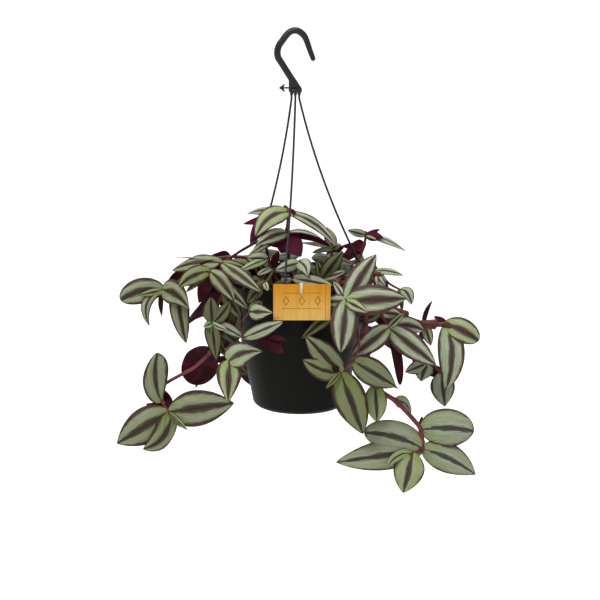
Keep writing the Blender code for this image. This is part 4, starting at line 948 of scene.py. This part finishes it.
def blade_grid(base, tip, width, face, outline, roll, arch, sweep, fold, mark, look):
    """A leaf as a closed skin. Along its length s the midrib is the straight line from base to
    tip plus (arch up, sweep aside) times 4s(1-s). A half's width is width/2 s^rise (1-s)^fall
    over its top, drawn in a little before the tip. Across, at a share v from -1 to 1, the blade
    rises by half width (tan fold |v| - cupping v^2 + wave |v|^3 sin), and the lower skin follows
    the upper one at the thickness (1-v^2). A ring of the grid is the upper skin, then the lower."""
    s = (1 - np.cos(np.linspace(0, math.pi, LEAF_ROWS))) / 2
    v = np.sin(np.linspace(-math.pi / 2, math.pi / 2, LEAF_COLUMNS))
    base, tip = np.asarray(base, float), np.asarray(tip, float)
    length = np.linalg.norm(tip - base)
    along = (tip - base) / length
    hint = np.array(FACE[face] if isinstance(face, str) else face, float)
    normal = unit(hint - along * (along @ hint))
    turn = math.radians(roll)
    normal = normal * math.cos(turn) + np.cross(along, normal) * math.sin(turn)
    bulge = normal * arch + np.cross(along, normal) * sweep
    middle = base + np.outer(s, tip - base) + np.outer(4 * s * (1 - s), bulge)
    tangent = unit((tip - base) + np.outer(4 - 8 * s, bulge))
    up = unit(normal - tangent * (tangent @ normal)[:, None])
    out = np.cross(tangent, up)
    twist = (math.radians(LEAF_TWIST) * math.sin(mark * 5.1) * (s - 0.4))[:, None]
    up, out = up * np.cos(twist) + out * np.sin(twist), out * np.cos(twist) - up * np.sin(twist)
    s = s[:, None]
    rise, fall = (np.where(v > 0, *OUTLINE[outline][i::2]) for i in (0, 1))
    peak = rise / (rise + fall)
    half = width / 2 * (s / peak) ** rise * ((1 - s) / (1 - peak)) ** fall
    half = half * (1 - 0.3 * (fall - 0.5) * s ** 7)
    # the foot stays 1.3 mm wide and the tip 0.1 mm, each to a side
    half = np.sqrt(half ** 2 + (1.3 * (1 - s) ** 9) ** 2 + 0.1 ** 2)
    # the fold is three times as steep at the foot and opens over the first tenth
    lean = np.tan(np.radians(fold) * (0.9 + 2.2 * np.exp(-s / 0.07)))
    cup = look.cupping + 0.5 * (lean - lean[-1])
    ripple = look.wave * np.sin(math.tau * (1.6 * s + mark) + np.sign(v) * 1.3)
    lift = half * (lean * np.abs(v) - cup * v ** 2 + ripple * np.abs(v) ** 3)
    spread = half * v * np.cos(np.radians(fold))
    upper = middle[:, None] + out[:, None] * spread[..., None] + up[:, None] * lift[..., None]
    depth = look.thickness * (1 - v ** 2) * np.minimum(1.0, half / 2.0) + LEAF_SKIN
    lower = upper - up[:, None] * depth[..., None]
    grid = np.concatenate((upper, lower[:, ::-1]), axis=1)
    across, lengths = np.broadcast_arrays(np.concatenate((v, v[::-1])), s)
    wide = np.concatenate((half, half[:, ::-1]), axis=1)
    blade = np.stack((lengths * length, across * wide, np.full_like(lengths, mark * 40.0)), -1)
    slots = np.where(np.arange(2 * LEAF_COLUMNS) < LEAF_COLUMNS - 1, 0, 1)
    return grid, slots, {"across": across, "along": lengths, "blade": blade}


def sheath_grid(point, way, radius, length):
    """The thin sheath that a leaf wraps round its stem: a sleeve that starts on the knot and
    widens by a quarter to its open end, which is cut askew; its wall of 0.25 mm turns back in."""
    t = np.concatenate((np.linspace(0, 1, 7), np.linspace(1, 0.1, 6)))
    wall = np.where(np.arange(13) < 7, 0.0, 0.25)
    way = unit(way)
    path = np.asarray(point, float) + np.outer(t * length, way)
    first = unit(np.cross(way, (0.31, 0.52, 0.79)))
    a = around(STEM_SIDES)
    spoke = first * np.cos(a)[:, None] + np.cross(way, first) * np.sin(a)[:, None]
    reach = radius * (1.12 + 0.3 * t ** 2) - wall
    skew = 0.16 * length * t[:, None] * np.cos(a)[None]
    return path[:, None] + spoke[None] * reach[:, None, None] + way * skew[..., None]


def leaf(point, tip, width, face, arch, stage=GROWN, sweep=0.0, roll=0.0, outline="n"):
    """A leaf: the route point that it grows from, its tip, width, the way its upper face looks and
    its arch in mm, then what few leaves change: age and painted shade, sweep in mm, roll in
    degrees and outline."""
    return point, np.array(tip, float), width, face, arch, stage, sweep, roll, outline


def grow(name, radius, age, route, leaves, leaf_look, stem_look, materials):
    """One shoot: its stem with a swelling at each knot, the sheaths and the leaves."""
    shell = Shell()
    letters = sum(map(ord, name))
    route = [np.array(p, float) for p in route]
    route[0][2] = STEM_FOOT
    path, at = smooth_route(route, STEM_STEPS, STEM_PULL)
    share = at / at[-1]
    knots = np.array(sorted({row[0] for row in leaves}))
    swell = np.exp(-(np.abs(at[:, None] - knots).min(1) / 0.12) ** 2)
    radii = radius * (1 - STEM_TAPER * share) * (1 + stem_look.knot * swell)
    path = np.vstack((path, path[-1] + unit(path[-1] - path[-2]) * radius))
    radii = np.append(radii, radius * 0.3)
    swell, share = np.append(swell, 1.0), np.append(share, 1.0)
    # the skin's pattern: along the stem, and round it on a circle of its own
    run, a = run_length(path)[:, None], around(STEM_SIDES)
    apart = letters % 97 / 9.7 * 10
    spot = np.stack(np.broadcast_arrays(run, 2.0 * np.cos(a), 2.0 * np.sin(a) + apart), -1)
    # a stem is older at its foot than at its tip
    olden = np.clip(age + 0.5 * (0.5 - share), 0, 2)[:, None]
    shell.add(swept(path, radii, STEM_SIDES), 2, blade=spot, age=olden, knot=swell[:, None])
    last = len(route) - 1
    swollen, bulk = SWOLLEN.get(name, (last + 1, 1.0))
    for k in knots:
        ahead = route[min(k + 1, last)] - route[max(k - (k == last), 0)]
        r = radius * (1 - STEM_TAPER * k / last)
        wide = r * (bulk if k >= swollen else 1.0)
        sleeve = sheath_grid(route[k] - unit(ahead) * r, ahead, wide, SHEATH_LENGTH * wide)
        new = np.clip(age - 0.2, 0, 1)
        shell.add(sleeve, 2, blade=sleeve * (0.2, 1.0, 1.0), age=new, knot=0.15)
    wine = WINE.get(name, WINE_MOSTLY)
    for n, row in enumerate(leaves):
        k, tip, width, face, arch, stage, sweep, roll, outline = leaf(*row)
        # a number of the leaf's own, which turns its waves and shifts its pattern
        mark = (letters * 0.37 + n * 1.618) % 7.0
        fold = FOLD_MIDDLE + FOLD_SPREAD * math.sin(1.7 * n + len(name))
        start = route[k] - unit(tip - route[k]) * LEAF_ROOT * radius
        grid, slots, layers = blade_grid(start, tip, width, face, outline, roll, arch, sweep, fold,
                                         mark, leaf_look)
        # no two leaves alike: how grey its stripe is and how wide its margin
        grey = np.clip(1 - wine + 0.25 * math.sin(mark * 2.3), 0, 1)
        rim = 0.07 + 0.19 * wine + 0.05 * math.sin(mark * 7.9)
        # painted shade: shaded leaves, leaves deep in the plant and some whole shoots get a shade
        # power
        shell.add(grid, slots, youth=YOUTH * (stage == YOUNG), grey=grey, rim=rim,
                  shade=PAINTED_SHADE_POWER.get(stage, SHOOT_PAINTED_SHADE.get(name, 0.0)), **layers)
    settle(shell.finish(name + "_grown", materials), name)


def back_shoot(bearing, hang, hand):
    """Route and leaves of a shoot behind the pot: over the rim, then hanging on its bearing, its
    leaves by turns on one side and the other, two at the end; hand is 1 or -1."""
    out = np.append(level_way(math.radians(bearing)), 0.0)
    along = np.array((-out[1], out[0], 0.0)) * hand
    levels = (*BACK_HEIGHTS, *(-hang * share for share in BACK_SHARES))
    route = [out * r + (0, 0, z) for r, z in zip(BACK_REACH, levels)]
    leaves = []
    for k, shift, drop, width, stage in BACK_LEAVES:
        tip = route[k] + out * BACK_OUTWARD + along * shift + (0, 0, drop)
        leaves.append((k, tip, width, out + (0, 0, 0.6), 5.0, stage))
    return route, leaves


def lathed(profile, axis, sides):
    """A profile of radius and height turned about the upright axis at x, y: each ring's points
    are (x + r cos a, y + r sin a, z)."""
    r, z = np.asarray(profile, float).T[:, :, None]
    a = around(sides)
    return np.stack((axis[0] + r * np.cos(a), axis[1] + r * np.sin(a), z + 0 * a), -1)


def turned(name, parts, materials):
    """One mesh of turned parts, each given by its profile, its axis and its sides."""
    shell = Shell()
    for part in parts:
        shell.add(lathed(*part))
    return shell.finish(name, materials)


def cut(piece, tool, operation):
    """Joins the tool to the piece or cuts it away, for good, and removes the tool."""
    step = piece.modifiers.new("cut", "BOOLEAN")
    step.object, step.operation, step.solver = tool, operation, "EXACT"
    graph = bpy.context.evaluated_depsgraph_get()
    mesh = bpy.data.meshes.new_from_object(piece.evaluated_get(graph))
    piece.modifiers.clear()
    piece.data = mesh
    bpy.data.objects.remove(tool)


class PLANT_OT_pot(bpy.types.Operator):
    """Turns the pot with its rim, lugs and drain holes"""
    bl_idname = "plant.pot"
    bl_label = "Pot"

    def execute(self, context):
        black = context.scene.plant_pot.black
        made = moulded_plastic("pot_moulded_polypropylene", black, 0.5, 0.12, POT_RING_STEP)
        pot = turned("pot_moulded", [(self.profile(), (0.0, 0.0), 160)], [made])
        lugs = Shell()
        drills = []
        for bearing in STRANDS.values():
            way = level_way(math.radians(bearing))
            lugs.add(self.lug(way))
            drills.append((self.drill(LUG_HOLE_R, -8.0, 3.0), LUG_R * way, 20))
        for k in range(DRAIN_COUNT):
            way = level_way((k + 0.5) * math.tau / DRAIN_COUNT)
            hole = self.drill(DRAIN_R, -POT_DEPTH - 3, -POT_DEPTH + 5)
            drills.append((hole, DRAIN_RING_R * way, 24))
        cut(pot, lugs.finish("lugs", [made]), "UNION")
        cut(pot, turned("drills", drills, [made]), "DIFFERENCE")
        pot.data.set_sharp_from_angle(angle=math.radians(40))
        settle(pot, "pot")
        return {"FINISHED"}

    def profile(self):
        """Radius and height: out along the foot, round a quarter circle, up the straight wall,
        over the rim band, whose lower edge is rounded to 0.5 mm and its upper one to 0.8 mm, and
        down the inner side a wall's thickness further in."""
        low, turn = -POT_DEPTH, POT_FOOT_ROUND
        a, b = np.linspace(0, math.pi / 2, 9), np.linspace(0, math.pi / 2, 5)
        round_r, round_z = POT_FOOT_R - turn + turn * np.sin(a), low + turn - turn * np.cos(a)
        slope = (POT_TOP_R - POT_FOOT_R) / (POT_DEPTH - turn)
        up = np.linspace(low + turn, -POT_RIM_DEPTH - 0.5, 9)[1:]
        down = np.linspace(-1.0, low + turn + POT_FLOOR, 9)
        top = POT_TOP_R - slope - POT_WALL
        flat = np.array((0.5, 20.0, 38.0))
        lines = (
            (flat, (low,) * 3),
            (round_r, round_z),
            (POT_FOOT_R + slope * (up - low - turn), up),
            (POT_RIM_R - 0.5 + 0.5 * np.sin(b), -POT_RIM_DEPTH + 0.5 - 0.5 * np.cos(b)),
            (POT_RIM_R - 0.8 + 0.8 * np.cos(b), -0.8 + 0.8 * np.sin(b)),
            ((top + 0.9, top + 0.3), (0.0, -0.3)),
            (top + slope * (down + 1.0), down),
            ((round_r - POT_WALL)[-2::-1], (round_z + POT_FLOOR)[-2::-1]),
            ((36.0, 20.0, 0.5), (low + POT_FLOOR,) * 3),
        )
        return np.vstack([np.column_stack(line) for line in lines])

    def drill(self, radius, low, high):
        """The profile of a round cutter."""
        return (0.3, low), (radius, low), (radius, high), (0.3, high)

    def lug(self, way):
        """A flat eye inside the rim: a rectangle with rounded corners, carried up its thickness."""
        ring = rounded_ring(LUG_HALF, LUG_CORNER, 5)
        flat = (LUG_R + LUG_OUTWARD + ring[:, :1]) * way + ring[:, 1:] * (-way[1], way[0])
        levels = (-LUG_DEPTH, LUG_THICK - LUG_DEPTH)
        return np.stack([np.column_stack((flat, np.full(len(flat), z))) for z in levels])


class PLANT_OT_soil(bpy.types.Operator):
    """Fills the pot with lumpy potting mix"""
    bl_idname = "plant.soil"
    bl_label = "Potting mix"

    def execute(self, context):
        # rings from the foot up the wall, then in over the uneven top, whose lumps of 1.1 mm and
        # finer ones of 0.7 mm lie 1.9 mm low in the mean and fade over 6 mm to the wall
        low = -POT_DEPTH + POT_FLOOR + SOIL_GAP
        inside = POT_FOOT_R - POT_WALL - SOIL_GAP
        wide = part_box("soil")[1][0] * 1000 + SEAT[0] - 0.05
        top = np.linspace(wide, 0.6, SOIL_RINGS)
        radii = np.append((1.0, inside - 7.0, inside - 2.2, inside - 0.05), top)
        heights = np.append((low, low, low + 2.2, low + 7.0), np.full(SOIL_RINGS, SOIL_TOP - 0.3))
        a = around(SOIL_SIDES)
        x, y = radii[:, None] * np.cos(a), radii[:, None] * np.sin(a)
        rough = 1.1 * wobble(x, y, 1.3) + 0.7 * wobble(x * 3.1, y * 3.1, 4.1) - 1.9
        fade = np.append(np.zeros(4), np.clip((wide - top) / 6, 0, 1))
        z = heights[:, None] + fade[:, None] * rough
        shell = Shell()
        shell.add(np.stack((x, y, z), -1)[:, ::-1])
        made = potting_mix(context.scene.plant_pot.soil)
        settle(shell.finish("soil_filled", [made]), "soil")
        return {"FINISHED"}


class PLANT_OT_hanger(bpy.types.Operator):
    """Makes the hook with its hub and the three strands"""
    bl_idname = "plant.hanger"
    bl_label = "Hanger"

    def execute(self, context):
        black = context.scene.plant_hanger.black
        made = moulded_plastic("hanger_moulded_polypropylene", black, 0.36, 0.5, HANGER_RING_STEP)
        self.hook(made)
        for which, bearing in STRANDS.items():
            self.strand(which, level_way(math.radians(bearing)), made)
        return {"FINISHED"}

    def hook(self, made):
        """The bar swept along its route with a domed tip, the hub, its web and the arrow tail."""
        path, at = smooth_route(np.insert(HOOK_ROUTE, 1, 0.0, axis=1), 10)
        radii = HOOK_R - (HOOK_R - HOOK_TIP_R) * np.maximum(0, 1 - 4 * at / at[-1])
        dome = np.sin(np.linspace(0.2, math.pi / 2, 6))
        cap = path[0] + np.outer(np.sqrt(1 - dome ** 2), unit(path[0] - path[1])) * HOOK_TIP_R
        shell = Shell()
        shell.add(swept(np.vstack((cap, path[1:])), np.append(dome * HOOK_TIP_R, radii[1:]), 20))
        low, high, edge = HUB_LOW, HUB_HIGH, HUB_EDGE
        hub = ((edge, low), (HUB_R - edge, low), (HUB_R, low + edge),
               (HUB_R, high - edge), (HUB_R - edge, high), (edge, high))
        shell.add(lathed(hub, (HUB_X, 0.0), 48))
        for outline, half in HUB_PLATES:
            middle = np.mean(outline, axis=0)
            flats = ((half, 0.96), (half - PLATE_EDGE, 1.0))
            rings = [(middle + (np.array(outline) - middle) * share, side * depth)
                     for side, pair in ((-1, flats), (1, flats[::-1])) for depth, share in pair]
            shell.add(np.array([np.insert(ring, 1, depth, axis=1) for ring, depth in rings]))
        settle(shell.finish("hanger_hook_moulded", [made]), "hanger_hook")

    def strand(self, which, away, made):
        """A rod from its socket to its lug: plug, shoulder and neck, then one bowed span whose
        points are (1-t)^2 start + 2t(1-t) bend + t^2 end, and a barb under the lug."""
        hub = (HUB_X, 0.0) + SOCKET_RING_R * level_way(math.radians(SOCKETS[which]))
        lug = LUG_R * away
        start, end = np.append(hub, HUB_LOW + STRAND_ENDS[0]), np.append(lug, STRAND_ENDS[1])
        bend = (start + end) / 2 - np.append(away * STRAND_BOW, 0.0)
        t = np.linspace(0, 1, STRAND_STEPS)[:, None]
        span = start * (1 - t) ** 2 + bend * 2 * t * (1 - t) + end * t ** 2
        head = np.array([(*hub, HUB_LOW + rise) for rise in PLUG_Z])
        foot = np.array([(*lug, -LUG_DEPTH - GAP + rise) for rise in BARB_Z])
        radii = np.concatenate((PLUG_R, np.full(STRAND_STEPS, STRAND_R), BARB_R))
        shell = Shell()
        shell.add(swept(np.vstack((head, span, foot)), radii, 12))
        steps = np.arange(STRAND_STEPS)
        level = np.interp(-CROSSBAR_Z, -span[:, 2], steps)
        near = np.array([np.interp(level, steps, axis) for axis in span.T])
        shell.add(swept(near + np.outer(CROSSBAR_Y, (-away[1], away[0], 0.0)), CROSSBAR_R, 12))
        name = "hanger_strand_" + which
        settle(shell.finish(name + "_moulded", [made]), name)


class PLANT_OT_label(bpy.types.Operator):
    """Makes the printed card and its clip"""
    bl_idname = "plant.label"
    bl_label = "Label"

    def execute(self, context):
        look = context.scene.plant_label
        low, high = (np.array(c) * 1000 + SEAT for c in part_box("label_card"))
        size = high - low
        # an upright plate with rounded corners, drawn in a little at its two faces
        ring = rounded_ring(size[::2] / 2, CARD_CORNER, 6)
        flats = ((-0.5, 0.997), (-0.4, 1.0), (0.4, 1.0), (0.5, 0.997))
        grid = np.array([np.insert(ring * share, 1, depth * size[1], axis=1)
                         for depth, share in flats])
        shell = Shell()
        shell.add((grid + (low + high) / 2)[::-1], blade=grid[::-1])
        piece = shell.finish("label_card_printed", [printed_card(look)], smooth=False)
        settle(piece, "label_card")
        self.clip(clip_plastic(look.clip))
        return {"FINISHED"}

    def clip(self, made):
        """A flat strip along its route. Each ring is path + half width c across + half thickness
        n along the strip's normal, c and n being the cosine and sine drawn out towards a
        rounded rectangle; the half width closes on a half circle at the front end."""
        y, z = np.array(CLIP_ROUTE).T
        path, _ = smooth_route(np.column_stack((0 * y + CLIP_X, y, z)), 12, 0.2)
        near = 1 - np.clip(run_length(path) / (CLIP_WIDTH / 2), 0.0, 1.0)
        half = CLIP_WIDTH / 2 * np.sqrt(1.01 - near ** 2)
        normal = np.cross(unit(np.gradient(path, axis=0)), (1.0, 0.0, 0.0))
        a = around(20)
        c, n = (np.sign(v) * np.sqrt(np.abs(v)) for v in (np.cos(a), np.sin(a)))
        across = (half[:, None] * c)[..., None] * (1.0, 0.0, 0.0)
        shell = Shell()
        shell.add(path[:, None] + across + normal[:, None] * (CLIP_THICK / 2 * n)[None, :, None])
        settle(shell.finish("label_clip_moulded", [made]), "label_clip")


class PLANT_OT_shoots(bpy.types.Operator):
    """Grows every shoot with its leaves"""
    bl_idname = "plant.shoots"
    bl_label = "Shoots"

    def execute(self, context):
        leaf_look, stem_look = context.scene.plant_leaves, context.scene.plant_stems
        materials = [leaf_upper(leaf_look), leaf_under(leaf_look), stem_skin(stem_look)]
        behind = [(name, BACK_R, BACK_AGE, *back_shoot(*way)) for name, *way in BACK_SHOOTS]
        for shoot in (*SHOOTS, *behind):
            grow(*shoot, leaf_look, stem_look, materials)
        return {"FINISHED"}


class PLANT_OT_stage(bpy.types.Operator):
    """Sets the floor, the lights and the camera"""
    bl_idname = "plant.stage"
    bl_label = "Stage"

    def execute(self, context):
        scene = context.scene
        self.floor(scene.plant_stage)
        for name, eye, target, size, power in LIGHTS:
            lamp = bpy.data.lights.new(name, "AREA")
            lamp.size, lamp.energy = size, power
            self.stand(lamp, eye, target)
        world = bpy.data.worlds.new("studio")
        world.use_nodes = True
        sky = {"Color": srgb("#ffffff"), "Strength": SKY_STRENGTH}
        feed(world.node_tree.nodes["Background"], sky)
        scene.world = world
        scene.view_settings.view_transform = "Standard"
        view = bpy.data.cameras.new("camera")
        view.lens, view.sensor_width = CAMERA_LENS, 36.0
        scene.camera = self.stand(view, place(CAMERA_EYE), place(CAMERA_TARGET))
        return {"FINISHED"}

    def floor(self, look):
        """A floor that turns up into a wall on a quarter circle of 1 m."""
        a = np.linspace(0, math.pi / 2, 16)
        y = np.concatenate(((-12.0, 0.0), 2.5 + np.sin(a), (3.5,)))
        z = np.concatenate(((0.0, 0.0), 1.0 - np.cos(a), (5.0,))) - look.drop
        points = [(x, *spot) for spot in zip(y.tolist(), z.tolist()) for x in (-12.0, 12.0)]
        n = np.arange(len(y) - 1) * 2
        mesh = bpy.data.meshes.new("stage_floor")
        mesh.from_pydata(points, [], np.stack((n, n + 1, n + 3, n + 2), -1).tolist())
        mesh.polygons.foreach_set("use_smooth", np.full(len(n), True))
        mesh.materials.append(floor_paint(look.pale))
        floor = bpy.data.objects.new("stage_floor", mesh)
        bpy.context.scene.collection.objects.link(floor)

    def stand(self, thing, eye, target):
        """Puts a lamp or a camera at eye, turned to look at target."""
        made = bpy.data.objects.new(thing.name, thing)
        made.location = eye
        made.rotation_euler = (Vector(target) - Vector(eye)).to_track_quat("-Z", "Y").to_euler()
        bpy.context.scene.collection.objects.link(made)
        return made


class PLANT_PT_panel(bpy.types.Panel):
    """Lists the builders and their settings"""
    bl_label = "Hanging plant"
    bl_idname = "PLANT_PT_panel"
    bl_space_type = "VIEW_3D"
    bl_region_type = "UI"
    bl_category = "Plant"

    def draw(self, context):
        for operator, *groups in STEPS:
            column = self.layout.box().column()
            column.operator(operator.bl_idname)
            for settings in (getattr(context.scene, group) for group in groups):
                for name in settings.bl_rna.properties.keys():
                    if name not in ("rna_type", "name"):
                        column.prop(settings, name)


STEPS = (
    (PLANT_OT_pot, "plant_pot"),
    (PLANT_OT_soil,),
    (PLANT_OT_hanger, "plant_hanger"),
    (PLANT_OT_label, "plant_label"),
    (PLANT_OT_shoots, "plant_leaves", "plant_stems"),
    (PLANT_OT_stage, "plant_stage"),
)
GROUPS = {
    "plant_leaves": PlantLeaves, "plant_stems": PlantStems, "plant_pot": PlantPot,
    "plant_hanger": PlantHanger, "plant_label": PlantLabel, "plant_stage": PlantStage,
}
CLASSES = (*GROUPS.values(), *(step[0] for step in STEPS), PLANT_PT_panel)


def register():
    for made in CLASSES:
        bpy.utils.register_class(made)
    for name, group in GROUPS.items():
        setattr(bpy.types.Scene, name, bpy.props.PointerProperty(type=group))


def unregister():
    for name in GROUPS:
        delattr(bpy.types.Scene, name)
    for made in reversed(CLASSES):
        bpy.utils.unregister_class(made)


def main():
    register()
    for operator, *_ in STEPS:
        group, call = operator.bl_idname.split(".")
        getattr(getattr(bpy.ops, group), call)()


if __name__ == "__main__":
    main()
